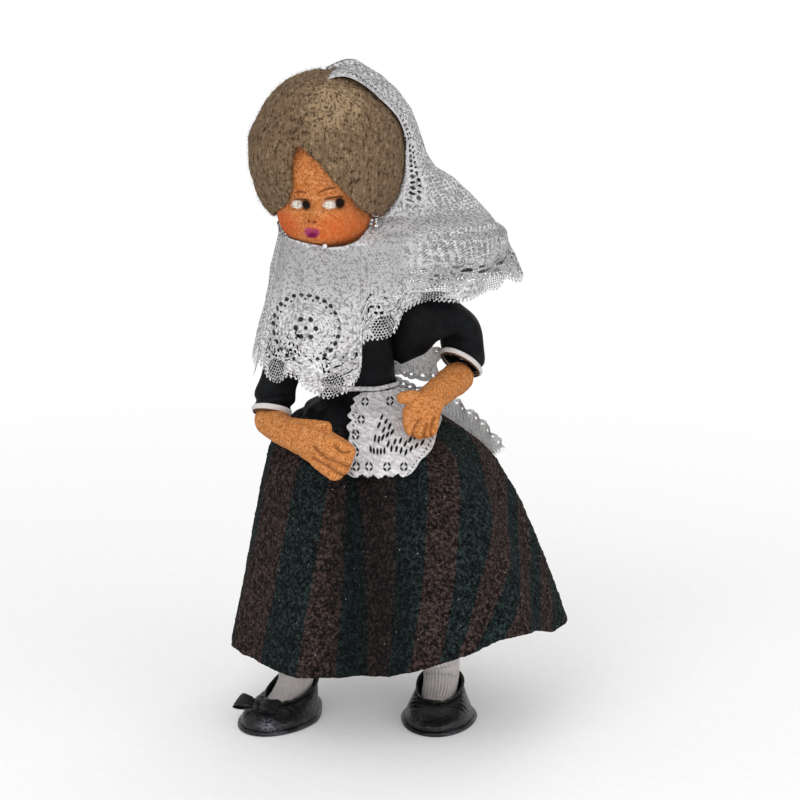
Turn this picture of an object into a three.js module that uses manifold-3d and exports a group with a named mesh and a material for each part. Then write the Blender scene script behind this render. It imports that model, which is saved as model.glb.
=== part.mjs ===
// A felt costume doll on a bent-wire armature, standing on its own shoes.
// Millimetres, +Z up. The doll faces -Y, and its right side is -X.
import * as THREE from 'three';
import { mergeVertices } from 'three/addons/utils/BufferGeometryUtils.js';
import Module from 'manifold-3d';

const wasm = await Module();
wasm.setup();

// Clearances
const GAP = 0.35;
const FACET = 0.2;
const CUT = 0.6;

// Armature
const WIRE_R = 0.8;
const WIRE_SIDES = 6;

// Pivots of the armature, where the wire bends
const HIP_Z = 95;
const HIP_Y = 2;
const HIP = { right: [-25, HIP_Y, HIP_Z], left: [0, HIP_Y, HIP_Z] };
const KNEE = { right: [-33, 1, 57], left: [9, 1, 57] };
const ANKLE = { right: [-40.5, 1, 17], left: [16.3, 3, 17] };
const SHOULDER_Z = 158.4;
const SHOULDER_Y = 4;
const SHOULDER = { right: [-40.2, SHOULDER_Y, SHOULDER_Z], left: [5.4, SHOULDER_Y, SHOULDER_Z] };
const ELBOW = { right: [-49.5, -7, 119], left: [22.4, 10.4, 131.4] };
const NECK = [-26.4, 3];
const NECK_TOP = 197.5;
const NECK_R = 6.4;
const HEAD_PLANE = 189;
const HEAD_YAW = -10 * Math.PI / 180;

// Limbs, as radii of the stuffed felt
const SHOULDER_BALL = 7.4;
const UPPER_ARM_R = 6.4;
const ELBOW_BALL = 6.3;
const FOREARM_R = 5.9;
const WRIST_R = 5.2;
const PALM_HALF_WIDTH = 7.4;
const PALM_HALF_THICK = 4.4;
const FINGER_HALF_WIDTH = 6.2;
const FINGER_HALF_THICK = 3.2;
const THUMB_R = 2.9;
const HIP_BALL = 10;
const THIGH_R = 8.6;
const KNEE_BALL = 7.6;
const SHIN_R = 7.1;
const ANKLE_BALL = 6.9;
const STOCKING_WALL = 0.6;

// Clothes
const FELT_WALL = 1.1;
const SATIN_WALL = 0.9;
const SLEEVE_ROOM = 0.9;
const CUFF_HEIGHT = 2.2;
const CUFF_WALL = 0.9;
const SKIRT_WALL = 1.4;
const SKIRT_TOP = 124.2;
const SKIRT_HEM = 34.4;
const HEM_TILT = 0.04;
const PETTICOAT_WALL = 0.8;
const PETTICOAT_ROOM = 1.3;
const PETTICOAT_TOP = 0.3;
const PETTICOAT_HEM = 0.94;
const LACE_WALL = 0.8;

// Shoes
const SOLE_THICK = 1.7;
const SOLE_FLANGE = 1.1;
const INSOLE_THICK = 1.5;
const INSOLE_ROOM = 0.9;
const FOOT_LENGTH = 43;
const HEEL_BACK = 9.5;
const BALL_AHEAD = 14;
const BALL_HALF_WIDTH = 13.6;
const HEEL_HALF_WIDTH = 9.2;
const SHOE_WALL = 0.8;
const SHOE_BACK_HEIGHT = 13;
const SHOE_THROAT_HEIGHT = 9.2;
const THROAT_REACH = 15.5;
const FOOT_YAW = { right: -28 * Math.PI / 180, left: -8 * Math.PI / 180 };

// Head
const HEAD_CENTRE = [-28, -6.2, 216];
const HEAD_HALF = [20.4, 21, 25.2];
const HAIR_CENTRE = [-27.5, -2.2, 224];
const HAIR_HALF = [29.4, 28, 28.2];
const HAIR_BOTTOM = 198;

const V = (x, y, z) => new THREE.Vector3(x, y, z);
const at = (list) => V(list[0], list[1], list[2]);
const mix = (a, b, t) => a + (b - a) * t;
const smooth = (t) => {
  const s = Math.min(1, Math.max(0, t));
  return s * s * (3 - 2 * s);
};
const degrees = (radians) => radians * 180 / Math.PI;

// Materials
const finish = (color, roughness, metalness = 0) => () =>
  new THREE.MeshStandardMaterial({ color, roughness, metalness });
const MATERIAL = {
  face_felt: finish(0xc98545, 0.95),
  hand_felt: finish(0xcd8640, 0.95),
  body_felt: finish(0xc9a27a, 0.95),
  stuffing: finish(0xd8cfc0, 1),
  hair: finish(0x6e5f48, 0.8),
  lace: finish(0xe9e9ec, 0.85),
  black_satin: finish(0x15171b, 0.5),
  stripe_wool: finish(0x22302c, 0.95),
  stiff_net: finish(0xdedad2, 0.9),
  white_trim: finish(0xe6dfd8, 0.85),
  stocking_knit: finish(0xa79f97, 0.9),
  patent_black: finish(0x0d0e11, 0.25),
  steel_wire: finish(0x8c8c8c, 0.4, 1),
  steel: finish(0x85878a, 0.45, 1),
  silver: finish(0xc8c8cc, 0.25, 1),
  pearl: finish(0xe8e4dc, 0.3),
};

const doll = new THREE.Group();
function piece(name, geometry, material, parent = doll) {
  const mesh = new THREE.Mesh(outward(geometry), MATERIAL[material]());
  mesh.name = name;
  parent.add(mesh);
  return mesh;
}

// Closed meshes
function triangleMesh(points, triangles) {
  const geometry = new THREE.BufferGeometry();
  const flat = new Float32Array(points.length * 3);
  points.forEach((p, i) => p.toArray(flat, 3 * i));
  geometry.setAttribute('position', new THREE.BufferAttribute(flat, 3));
  geometry.setIndex(triangles.flat());
  return geometry;
}

function bare(geometry) {
  const copy = geometry.clone();
  copy.deleteAttribute('normal');
  copy.deleteAttribute('uv');
  return mergeVertices(copy, 1e-4);
}

function signedVolume(geometry) {
  const p = geometry.attributes.position;
  const index = geometry.index;
  let sum = 0;
  for (let i = 0; i < index.count; i += 3) {
    const [a, b, c] = [0, 1, 2].map((k) => V(0, 0, 0).fromBufferAttribute(p, index.getX(i + k)));
    sum += a.dot(b.cross(c)) / 6;
  }
  return sum;
}

function outward(source) {
  const geometry = bare(source);
  if (signedVolume(geometry) < 0) {
    const index = geometry.index;
    for (let i = 0; i < index.count; i += 3) {
      const first = index.getX(i);
      index.setX(i, index.getX(i + 1));
      index.setX(i + 1, first);
    }
  }
  geometry.computeVertexNormals();
  return geometry;
}

// Rings of equal length joined into one closed body, with a fan over each end
function ringBody(rings) {
  const count = rings[0].length;
  const points = rings.flat();
  const triangles = [];
  for (let r = 0; r + 1 < rings.length; r++) {
    for (let i = 0; i < count; i++) {
      const a = r * count + i;
      const b = r * count + (i + 1) % count;
      triangles.push([a, b, b + count], [a, b + count, a + count]);
    }
  }
  [0, rings.length - 1].forEach((r) => {
    const hub = points.length;
    const middle = V(0, 0, 0);
    rings[r].forEach((p) => middle.addScaledVector(p, 1 / count));
    points.push(middle);
    for (let i = 0; i < count; i++) {
      const a = r * count + i;
      const b = r * count + (i + 1) % count;
      triangles.push(r === 0 ? [b, a, hub] : [a, b, hub]);
    }
  });
  return triangleMesh(points, triangles);
}

// The surface that lies a given depth behind place(u, v)
function behind(place, depth, closed) {
  const step = 1e-3;
  return (u, v) => {
    const [low, high] = closed ? [u - step, u + step] : [Math.max(u - step, 0), Math.min(u + step, 1)];
    const du = place(high, v).sub(place(low, v));
    const dv = place(u, Math.min(v + step, 1)).sub(place(u, Math.max(v - step, 0)));
    return place(u, v).addScaledVector(du.cross(dv).normalize(), -depth);
  };
}

// A sheet of cloth: the outer face is place(u, v), and the inner face lies a wall behind it
function clothBody(place, across, along, wall, closed) {
  const rowLength = closed ? across : across + 1;
  const outer = [];
  const inner = [];
  for (let j = 0; j <= along; j++) {
    for (let i = 0; i < rowLength; i++) {
      const u = i / across;
      const v = j / along;
      outer.push(place(u, v));
      inner.push(behind(place, wall, closed)(u, v));
    }
  }
  const size = outer.length;
  const triangles = [];
  const corner = (i, j) => j * rowLength + (closed ? i % across : i);
  for (let j = 0; j < along; j++) {
    for (let i = 0; i < across; i++) {
      const [a, b, c, d] = [corner(i, j), corner(i + 1, j), corner(i + 1, j + 1), corner(i, j + 1)];
      triangles.push([a, b, c], [a, c, d]);
      triangles.push([size + a, size + c, size + b], [size + a, size + d, size + c]);
    }
  }
  const strip = (a, b) => triangles.push([a, size + a, size + b], [a, size + b, b]);
  for (let i = 0; i < across; i++) {
    strip(corner(i, 0), corner(i + 1, 0));
    strip(corner(i + 1, along), corner(i, along));
  }
  if (!closed) {
    for (let j = 0; j < along; j++) {
      strip(corner(0, j + 1), corner(0, j));
      strip(corner(across, j), corner(across, j + 1));
    }
  }
  return triangleMesh([...outer, ...inner], triangles);
}

// A stuffed limb along a curve, with a half-width and a half-thickness at each point
function stuffedForm(points, sizes, options) {
  const { sides, steps, side, roundStart = true, roundEnd = true } = options;
  const path = new THREE.CatmullRomCurve3(points.map(at), false, 'centripetal');
  const swell = new THREE.CatmullRomCurve3(sizes.map(([w, d]) => V(w, d, 0)), false, 'centripetal');
  const ring = (t, back, scale) => {
    const centre = path.getPoint(t);
    const ahead = path.getTangent(t);
    const across = at(side).addScaledVector(ahead, -at(side).dot(ahead)).normalize();
    const through = ahead.clone().cross(across);
    const size = swell.getPoint(t);
    const list = [];
    for (let i = 0; i < sides; i++) {
      const a = 2 * Math.PI * i / sides;
      const p = centre.clone().addScaledVector(ahead, back * Math.min(size.x, size.y));
      p.addScaledVector(across, Math.cos(a) * size.x * scale);
      list.push(p.addScaledVector(through, Math.sin(a) * size.y * scale));
    }
    return list;
  };
  const bend = [64, 32].map((a) => a * Math.PI / 180);
  const rings = [];
  if (roundStart) {
    bend.forEach((a) => rings.push(ring(0, -Math.sin(a), Math.cos(a))));
  }
  for (let k = 0; k <= steps; k++) {
    rings.push(ring(k / steps, 0, 1));
  }
  if (roundEnd) {
    [...bend].reverse().forEach((a) => rings.push(ring(1, Math.sin(a), Math.cos(a))));
  }
  return ringBody(rings);
}

function circle(centre, across, through, radius, sides, turn = 0) {
  return Array.from({ length: sides }, (_, k) => {
    const a = 2 * Math.PI * (k + turn) / sides;
    const p = centre.clone().addScaledVector(across, Math.cos(a) * radius);
    return p.addScaledVector(through, Math.sin(a) * radius);
  });
}

// A round rod through the listed points, mitred at each bend
function rod(points, radius, sides = WIRE_SIDES) {
  const list = points.map(at);
  let across = V(0, 1, 0);
  const rings = list.map((p, i) => {
    const before = i > 0 ? p.clone().sub(list[i - 1]).normalize() : null;
    const after = i + 1 < list.length ? list[i + 1].clone().sub(p).normalize() : null;
    const ahead = (before ?? V(0, 0, 0)).add(after ?? V(0, 0, 0)).normalize();
    if (Math.abs(across.dot(ahead)) > 0.95) {
      across = V(1, 0, 0);
    }
    across = across.clone().addScaledVector(ahead, -across.dot(ahead)).normalize();
    const through = ahead.clone().cross(across);
    return circle(p, across, through, radius, sides, 0.5);
  });
  return ringBody(rings);
}

function ball(centre, radius, wide = 10, high = 7) {
  return new THREE.SphereGeometry(radius, wide, high).rotateX(Math.PI / 2).translate(...centre);
}

function block(low, high) {
  const size = low.map((value, i) => high[i] - value);
  const middle = low.map((value, i) => (high[i] + value) / 2);
  return new THREE.BoxGeometry(...size).translate(...middle);
}

// Booleans
function solid(geometry) {
  const clean = outward(geometry);
  return new wasm.Manifold(new wasm.Mesh({
    numProp: 3,
    vertProperties: new Float32Array(clean.attributes.position.array),
    triVerts: new Uint32Array(clean.index.array),
  }));
}

function surface(manifold) {
  const parts = manifold.decompose();
  const main = parts.reduce((best, next) => (next.volume() > best.volume() ? next : best));
  const mesh = main.getMesh();
  const geometry = new THREE.BufferGeometry();
  const positions = new Float32Array(mesh.numVert * 3);
  for (let i = 0; i < mesh.numVert; i++) {
    for (let k = 0; k < 3; k++) {
      positions[3 * i + k] = mesh.vertProperties[mesh.numProp * i + k];
    }
  }
  geometry.setAttribute('position', new THREE.BufferAttribute(positions, 3));
  geometry.setIndex(Array.from(mesh.triVerts));
  return geometry;
}

const cut = (body, ...tools) => surface(tools.map(solid).reduce((a, b) => a.subtract(b), solid(body)));
const join = (...bodies) => surface(bodies.map(solid).reduce((a, b) => a.add(b)));
const keep = (body, tool) => surface(solid(body).intersect(solid(tool)));

// The trunk: half-width, half-thickness and centre of the stuffed body at each height
const TRUNK = [
  { z: HIP_Z - 2.2, x: -12.5, y: 2, wide: 18, deep: 13 },
  { z: 97, x: -12.5, y: 2, wide: 19.5, deep: 14 },
  { z: 108, x: -13, y: 2, wide: 19, deep: 13.6 },
  { z: 120, x: -14, y: 2, wide: 14.6, deep: 11.4 },
  { z: 130, x: -15, y: 2, wide: 12.6, deep: 10.2 },
  { z: 142, x: -16.5, y: 1.4, wide: 13.4, deep: 11 },
  { z: 151.5, x: -17.4, y: 1.8, wide: 13.6, deep: 11 },
  { z: 160, x: -17.6, y: 3, wide: 17, deep: 9.6 },
  { z: 167, x: -19.6, y: 3.2, wide: 13, deep: 8.2 },
  { z: 173, x: -23, y: 3.2, wide: 7.8, deep: 7.2 },
  { z: 181, x: NECK[0] + 0.6, y: NECK[1], wide: NECK_R, deep: NECK_R },
  { z: 187, x: NECK[0], y: NECK[1], wide: NECK_R, deep: NECK_R },
  { z: NECK_TOP, x: NECK[0], y: NECK[1], wide: NECK_R, deep: NECK_R },
];

function trunkRing(level, grow, sides) {
  return Array.from({ length: sides }, (_, k) => {
    const a = 2 * Math.PI * k / sides;
    const x = level.x + Math.cos(a) * (level.wide + grow);
    return V(x, level.y + Math.sin(a) * (level.deep + grow), level.z);
  });
}

const PIVOT_REACH = 0.75;
function torsoWires(radius, spineTop) {
  const shoulderEnd = SHOULDER_BALL + PIVOT_REACH;
  const hipEnd = HIP_BALL + PIVOT_REACH;
  const spine = rod([
    [HIP.right[0] + 12.5, HIP_Y, HIP_Z], [-14.5, 2, 128], [-18, SHOULDER_Y, SHOULDER_Z],
    [-25.4, NECK[1], 178], [NECK[0], NECK[1], 186], [NECK[0], NECK[1], spineTop],
  ], radius);
  const shoulders = rod([
    [SHOULDER.right[0] + shoulderEnd, SHOULDER_Y, SHOULDER_Z],
    [SHOULDER.left[0] - shoulderEnd, SHOULDER_Y, SHOULDER_Z],
  ], radius);
  const hips = rod([
    [HIP.right[0] + hipEnd, HIP_Y, HIP_Z], [HIP.left[0] - hipEnd, HIP_Y, HIP_Z],
  ], radius);
  return { spine, shoulders, hips };
}

const SLEEVE_OUT = SHOULDER_BALL + GAP + SLEEVE_ROOM;
const ARMHOLE = 4.6;
function armholeSide(side, clear) {
  const x = SHOULDER[side][0];
  const inwards = side === 'right' ? 1 : -1;
  const edge = x + inwards * (ARMHOLE + clear);
  const far = x - inwards * 40;
  return block([Math.min(edge, far), -40, 90], [Math.max(edge, far), 50, 190]);
}

function buildTorso() {
  const wires = torsoWires(WIRE_R, NECK_TOP - 1);
  const bores = torsoWires(WIRE_R + GAP, NECK_TOP + 1);
  piece('torso_armature_wire', join(wires.spine, wires.shoulders, wires.hips), 'steel_wire');
  const body = ringBody(TRUNK.map((level) => trunkRing(level, 0, 14)));
  const sockets = ['right', 'left'].flatMap((side) => [
    ball(SHOULDER[side], SHOULDER_BALL + GAP + FACET),
    keep(ball(SHOULDER[side], SLEEVE_OUT + GAP), armholeSide(side, GAP)),
    ball(HIP[side], HIP_BALL + GAP + FACET),
  ]);
  piece('torso', cut(body, ...sockets, bores.spine, bores.shoulders, bores.hips), 'body_felt');
}

// Bodice with a short flared hem over the skirt
const BODICE_TOP = 169.5;
const PEPLUM_Z = 123.2;
const PEPLUM_FLARE = 8.4;
function bodiceLevels() {
  const levels = TRUNK.filter((level) => level.z >= 130 && level.z < BODICE_TOP - 1);
  const waist = levels[0];
  const flare = { wide: waist.wide + PEPLUM_FLARE, deep: waist.deep + PEPLUM_FLARE };
  const flared = { z: PEPLUM_Z, x: -13.6, y: waist.y, ...flare };
  const middle = { z: 125.9, x: -14.4, y: waist.y, wide: waist.wide + 3, deep: waist.deep + 3 };
  const top = { ...levels[levels.length - 1], z: BODICE_TOP, wide: 11, deep: 7.6, x: -21 };
  return [flared, middle, ...levels, top];
}

function buildBodice() {
  const levels = bodiceLevels();
  const shellOut = ringBody(levels.map((level) => trunkRing(level, GAP + SATIN_WALL, 18)));
  const rim = levels[0];
  const below = { ...rim, z: rim.z - CUT, wide: rim.wide + CUT, deep: rim.deep + CUT };
  const above = { ...levels[levels.length - 1], z: BODICE_TOP + CUT };
  const shellIn = ringBody([below, ...levels, above].map((level) => trunkRing(level, GAP, 18)));
  const armholes = ['right', 'left'].map((side) => ball(SHOULDER[side], SLEEVE_OUT + GAP));
  piece('bodice', cut(shellOut, shellIn, ...armholes), 'black_satin');
}

// Arms
const ARM = {
  right: {
    upper: [SHOULDER.right, [-43.6, -0.6, 144.4], [-47.5, -5.9, 127.2]],
    lower: [
      ELBOW.right, [-43.8, -18.6, 117.8], [-34.8, -31, 116.6], [-26.4, -41.4, 114.5], [-21.8, -45.4, 110.6],
    ],
    palmSide: [0.15, 0.35, 1],
    thumb: [[-31, -36.2, 117], [-25.8, -40.6, 121.2], [-20.6, -43.4, 123.4]],
  },
  left: {
    upper: [SHOULDER.left, [16, 9.2, 156.4], [24.2, 12.8, 149], [24, 12, 139]],
    lower: [ELBOW.left, [17.6, -3, 131], [12.2, -14.4, 129.4], [8, -23.6, 125.6], [8, -27.6, 120]],
    palmSide: [1, 0.1, 0.1],
    thumb: [[9, -18.6, 129], [4.6, -22.6, 131.6], [1, -24.6, 132]],
  },
};

// The point a given length away from one point, towards another
function towards(from, to, length) {
  return at(from).add(at(to).sub(at(from)).setLength(length)).toArray();
}

function buildArm(side) {
  const arm = ARM[side];
  const inwards = side === 'right' ? 1 : -1;
  const shoulder = SHOULDER[side];
  const elbow = ELBOW[side];
  const end = arm.upper[arm.upper.length - 1];
  const limb = { sides: 12, steps: 4, side: [0, 1, 0] };
  const rest = arm.upper.slice(1, -1).map(() => [UPPER_ARM_R + 0.5, UPPER_ARM_R + 0.5]);
  const upperSizes = [[SHOULDER_BALL, SHOULDER_BALL], ...rest, [UPPER_ARM_R, UPPER_ARM_R]];
  const upper = stuffedForm(arm.upper, upperSizes, { ...limb, roundEnd: false });
  const start = [shoulder[0] + inwards * (SHOULDER_BALL - GAP), shoulder[1], shoulder[2]];
  const outside = [shoulder[0] + inwards * (SHOULDER_BALL + 3), shoulder[1], shoulder[2]];
  const wirePath = [shoulder, ...arm.upper.slice(1)];
  const gapEnd = towards(elbow, end, ELBOW_BALL + PIVOT_REACH);
  piece(`${side}_upper_arm_wire`, rod([start, ...wirePath.slice(0, -1), gapEnd], WIRE_R), 'steel_wire');
  const upperBore = rod([outside, ...wirePath.slice(0, -1), gapEnd, elbow], WIRE_R + GAP);
  piece(`${side}_upper_arm`, cut(upper, upperBore, ball(elbow, ELBOW_BALL + GAP)), 'body_felt');

  const grown = (grow) => upperSizes.map(([wide, deep]) => [wide + grow, deep + grow]);
  const sleeveOut = stuffedForm(arm.upper, grown(GAP + SLEEVE_ROOM), { ...limb, roundEnd: false });
  const down = at(end).sub(at(arm.upper[arm.upper.length - 2])).normalize();
  const past = at(end).addScaledVector(down, CUT).toArray();
  const sleeveIn = join(
    stuffedForm(arm.upper, grown(GAP), { ...limb, roundEnd: false }),
    rod([at(end).addScaledVector(down, -CUT).toArray(), past], UPPER_ARM_R + GAP, 12),
  );
  piece(`${side}_sleeve`, keep(cut(sleeveOut, sleeveIn), armholeSide(side, 0)), 'black_satin');

  const cuffTop = at(end).addScaledVector(down, GAP);
  const cuffAcross = V(0, 1, 0).addScaledVector(down, -down.y).normalize();
  const cuffThrough = down.clone().cross(cuffAcross);
  const cuffRing = (along, radius) =>
    circle(cuffTop.clone().addScaledVector(down, along), cuffAcross, cuffThrough, radius, 14);
  const cuffOut = UPPER_ARM_R + GAP + SLEEVE_ROOM + 0.1;
  const cuff = ringBody([cuffRing(0, cuffOut), cuffRing(CUFF_HEIGHT, cuffOut)]);
  const cuffIn = cuffOut - CUFF_WALL;
  const hole = ringBody([cuffRing(-CUT, cuffIn), cuffRing(CUFF_HEIGHT + CUT, cuffIn)]);

  const lowerSizes = [
    [ELBOW_BALL, ELBOW_BALL], [FOREARM_R, FOREARM_R], [WRIST_R + 0.6, WRIST_R],
    [PALM_HALF_WIDTH, PALM_HALF_THICK], [FINGER_HALF_WIDTH, FINGER_HALF_THICK],
  ];
  const lower = stuffedForm(arm.lower, lowerSizes, { sides: 12, steps: 8, side: arm.palmSide });
  const wideLower = stuffedForm(arm.lower, lowerSizes.map(([w, d]) => [w + GAP + FACET, d + GAP + FACET]),
    { sides: 12, steps: 8, side: arm.palmSide });
  piece(`${side}_cuff`, cut(cuff, hole, upper, wideLower), 'white_trim');
  const thumbSizes = [[THUMB_R, THUMB_R], [THUMB_R, THUMB_R], [THUMB_R - 0.4, THUMB_R - 0.4]];
  const thumb = stuffedForm(arm.thumb, thumbSizes, { sides: 8, steps: 2, side: [0, 1, 0] });
  const lowerStart = towards(elbow, end, ELBOW_BALL - GAP);
  const lowerOutside = towards(elbow, end, ELBOW_BALL + 3);
  const inHand = arm.lower[3];
  const wrist = arm.lower[2];
  const lowerWire = [elbow, arm.lower[1], wrist, inHand];
  piece(`${side}_forearm_wire`, rod([lowerStart, ...lowerWire], WIRE_R), 'steel_wire');
  const tail = at(inHand).add(at(inHand).sub(at(wrist)).normalize().multiplyScalar(GAP)).toArray();
  const lowerBore = rod([lowerOutside, elbow, arm.lower[1], wrist, tail], WIRE_R + GAP);
  piece(`${side}_forearm_and_hand`, cut(join(lower, thumb), lowerBore), 'hand_felt');
}

// Legs
function buildLeg(side) {
  const inwards = side === 'right' ? 1 : -1;
  const [hip, knee, ankle] = [HIP[side], KNEE[side], ANKLE[side]];
  const limb = { sides: 10, side: [1, 0, 0] };
  const thighEnd = towards(knee, hip, 4.6);
  const groin = towards(hip, knee, 7);
  const thighSizes = [[HIP_BALL, HIP_BALL], [THIGH_R, THIGH_R], [THIGH_R, THIGH_R]];
  const thigh = stuffedForm([hip, groin, thighEnd], thighSizes, { ...limb, steps: 4, roundEnd: false });
  const start = [hip[0] + inwards * (HIP_BALL - GAP), hip[1], hip[2]];
  const outside = [hip[0] + inwards * (HIP_BALL + 3), hip[1], hip[2]];
  const thighWireEnd = towards(knee, hip, KNEE_BALL + PIVOT_REACH);
  piece(`${side}_thigh_wire`, rod([start, hip, thighWireEnd], WIRE_R), 'steel_wire');
  const thighBore = rod([outside, hip, knee], WIRE_R + GAP);
  piece(`${side}_thigh`, cut(thigh, thighBore, ball(knee, KNEE_BALL + GAP + FACET)), 'body_felt');

  const shinEnd = towards(ankle, knee, 4.2);
  const calf = towards(knee, ankle, 12);
  const shinSizes = (grow) => [KNEE_BALL, SHIN_R + 0.5, SHIN_R].map((r) => [r + grow, r + grow]);
  const shin = stuffedForm([knee, calf, shinEnd], shinSizes(0), { ...limb, steps: 3, roundEnd: false });
  const shinWireStart = towards(knee, hip, KNEE_BALL - GAP);
  const shinWireEnd = towards(ankle, knee, ANKLE_BALL + PIVOT_REACH);
  piece(`${side}_shin_wire`, rod([shinWireStart, knee, shinWireEnd], WIRE_R), 'steel_wire');
  const shinBore = rod([towards(knee, hip, KNEE_BALL + 3), knee, ankle], WIRE_R + GAP);
  piece(`${side}_shin`, cut(shin, shinBore, ball(ankle, ANKLE_BALL + GAP + FACET)), 'body_felt');

  const stockingTop = towards(knee, ankle, 5);
  const stockingPath = [stockingTop, calf, towards(ankle, knee, 3.4)];
  const longer = [towards(knee, ankle, 5 - CUT), calf, towards(ankle, knee, 3.4 - CUT)];
  const open = { ...limb, steps: 3, roundStart: false, roundEnd: false };
  const stocking = stuffedForm(stockingPath, shinSizes(GAP + STOCKING_WALL), open);
  piece(`${side}_stocking`, cut(stocking, stuffedForm(longer, shinSizes(GAP), open)), 'stocking_knit');
}

// Shoes, built pointing to -Y with the ankle over the origin, then turned
function soleEdge(a, shrink) {
  const toe = Math.cos(a) > 0;
  const half = toe ? BALL_HALF_WIDTH : mix(BALL_HALF_WIDTH, HEEL_HALF_WIDTH, smooth(-Math.cos(a) * 1.1));
  const length = toe ? FOOT_LENGTH - HEEL_BACK - BALL_AHEAD : HEEL_BACK + BALL_AHEAD;
  return [Math.sin(a) * (half - shrink), -BALL_AHEAD - Math.cos(a) * (length - shrink)];
}

function buildFoot(side) {
  const group = new THREE.Group();
  group.position.set(ANKLE[side][0], ANKLE[side][1], 0);
  group.rotation.z = FOOT_YAW[side];
  doll.add(group);
  const ankleZ = ANKLE[side][2];
  const sides = 24;
  const edge = (k, shrink, z) => {
    const [x, y] = soleEdge(2 * Math.PI * k / sides, shrink);
    return V(x, y, z);
  };
  const outline = (shrink, z) => Array.from({ length: sides }, (_, k) => edge(k, shrink, z));
  piece(`${side}_shoe_sole`, ringBody([outline(0, 0), outline(0, SOLE_THICK)]), 'patent_black', group);

  const base = SOLE_THICK + GAP;
  const upperWall = (u, v) => {
    const a = 2 * Math.PI * u;
    const [x0, y0] = soleEdge(a, SOLE_FLANGE);
    const toward = Math.cos(a);
    const rimX = Math.sin(a) * (SHIN_R + 1.9);
    const rimY = toward > 0 ? -3 - toward * (THROAT_REACH - 3) : -3 - toward * (HEEL_BACK + 1);
    const rimZ = mix(SHOE_BACK_HEIGHT, SHOE_THROAT_HEIGHT, smooth((toward + 1) / 2));
    const belly = 1 - (1 - v) * (1 - v);
    const inwards = v * v;
    return V(mix(x0, rimX, inwards), mix(y0, rimY, inwards), mix(base, rimZ, belly));
  };
  piece(`${side}_shoe_upper`, clothBody(upperWall, sides, 3, SHOE_WALL, true), 'patent_black', group);

  // The steel insole lies in the shoe and holds the doll up
  const insoleInset = SOLE_FLANGE + SHOE_WALL + INSOLE_ROOM;
  const insoleTop = base + INSOLE_THICK;
  const insole = ringBody([outline(insoleInset, base), outline(insoleInset, insoleTop)]);
  piece(`${side}_shoe_insole`, insole, 'steel', group);

  const instep = { z: insoleTop + GAP + 3.2, high: 3.1 };
  const toes = { z: insoleTop + GAP + 1.9, high: 1.8 };
  const foot = stuffedForm([[0, 0, ankleZ], [0, -1.5, 11.4], [0, -8, instep.z], [0, -17, toes.z]],
    [[ANKLE_BALL, ANKLE_BALL], [6.4, 6.4], [6.6, instep.high], [6.4, toes.high]],
    { sides: 12, steps: 5, side: [1, 0, 0] });
  const heel = ball([0, 1.2, insoleTop + GAP + 4.8], 4.6, 10, 6);
  piece(`${side}_foot`, join(foot, heel), 'stocking_knit', group);

  if (side === 'right') {
    const loop = (turn) => {
      const sizes = [[1.2, 0.7], [2.6, 0.9], [3.2, 0.9]];
      const middle = [[0, 0, 0], [3.6, 0, 0.4], [6.6, 0, 0.6]];
      const lobe = stuffedForm(middle, sizes, { sides: 8, steps: 2, side: [0, 1, 0] });
      return lobe.rotateZ(turn);
    };
    const bow = join(loop(0.25), loop(Math.PI - 0.25), ball([0, 0, 0.3], 1.9, 8, 6));
    const tie = piece(`${side}_shoe_bow`, bow, 'patent_black', group);
    tie.position.set(0, -18.6, 10.85);
    tie.rotation.x = 0.42;
  }
}

// Skirt: radius and centre of the gathered bell at each height
const SKIRT = [
  { z: SKIRT_TOP, r: 15.4, x: -14, y: 2 },
  { z: 121, r: 21.4, x: -13.4, y: 1.8 },
  { z: 116, r: 30, x: -12, y: 1.4 },
  { z: 108.5, r: 38.6, x: -9.4, y: 1 },
  { z: 97.5, r: 44.4, x: -7.2, y: 0.7 },
  { z: 82.5, r: 50, x: -4.8, y: 0.4 },
  { z: 59, r: 57.2, x: -2.6, y: -0.2 },
  { z: SKIRT_HEM, r: 64, x: -1.2, y: -0.5 },
];
const FRONT_FOLD = 101;
function foldDepth(angle, fall) {
  const main = Math.cos(9 * angle + 0.6) * 0.9 + Math.cos(5 * angle - 0.9) * 0.7;
  const away = Math.abs(((degrees(angle) + FRONT_FOLD + 540) % 360) - 180);
  const deep = Math.exp(-(away * away) / 70);
  return smooth(fall * 2.2) * (main * (0.6 + fall) - 5.2 * deep * smooth(fall * 3) * (1.25 - 0.6 * fall));
}

function bellPoint(levels, angle, fall, grow, folds) {
  const place = fall * (levels.length - 1);
  const i = Math.min(levels.length - 2, Math.floor(place));
  const t = place - i;
  const [p0, p1, p2, p3] = [-1, 0, 1, 2].map((k) => levels[Math.min(levels.length - 1, Math.max(0, i + k))]);
  const value = (key) => THREE.MathUtils.lerp(p1[key], p2[key], t)
    + t * (1 - t) * ((1 - t) * ((p2[key] - p0[key]) / 2 - (p2[key] - p1[key]))
    - t * ((p3[key] - p1[key]) / 2 - (p2[key] - p1[key])));
  const r = value('r') + grow + folds * foldDepth(angle, fall);
  const x = value('x') + Math.cos(angle) * r;
  return V(x, value('y') + Math.sin(angle) * r, value('z') + HEM_TILT * x * fall * fall);
}

function buildSkirt() {
  const skirt = (u, v) => bellPoint(SKIRT, -2 * Math.PI * u, v, 0, 1);
  piece('skirt', clothBody(skirt, 45, 8, SKIRT_WALL, true), 'stripe_wool');
  const lining = behind(skirt, SKIRT_WALL + PETTICOAT_ROOM, true);
  const petticoat = (u, v) => lining(u, mix(PETTICOAT_TOP, PETTICOAT_HEM, v));
  piece('petticoat', clothBody(petticoat, 36, 4, PETTICOAT_WALL, true), 'stiff_net');
}

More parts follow.
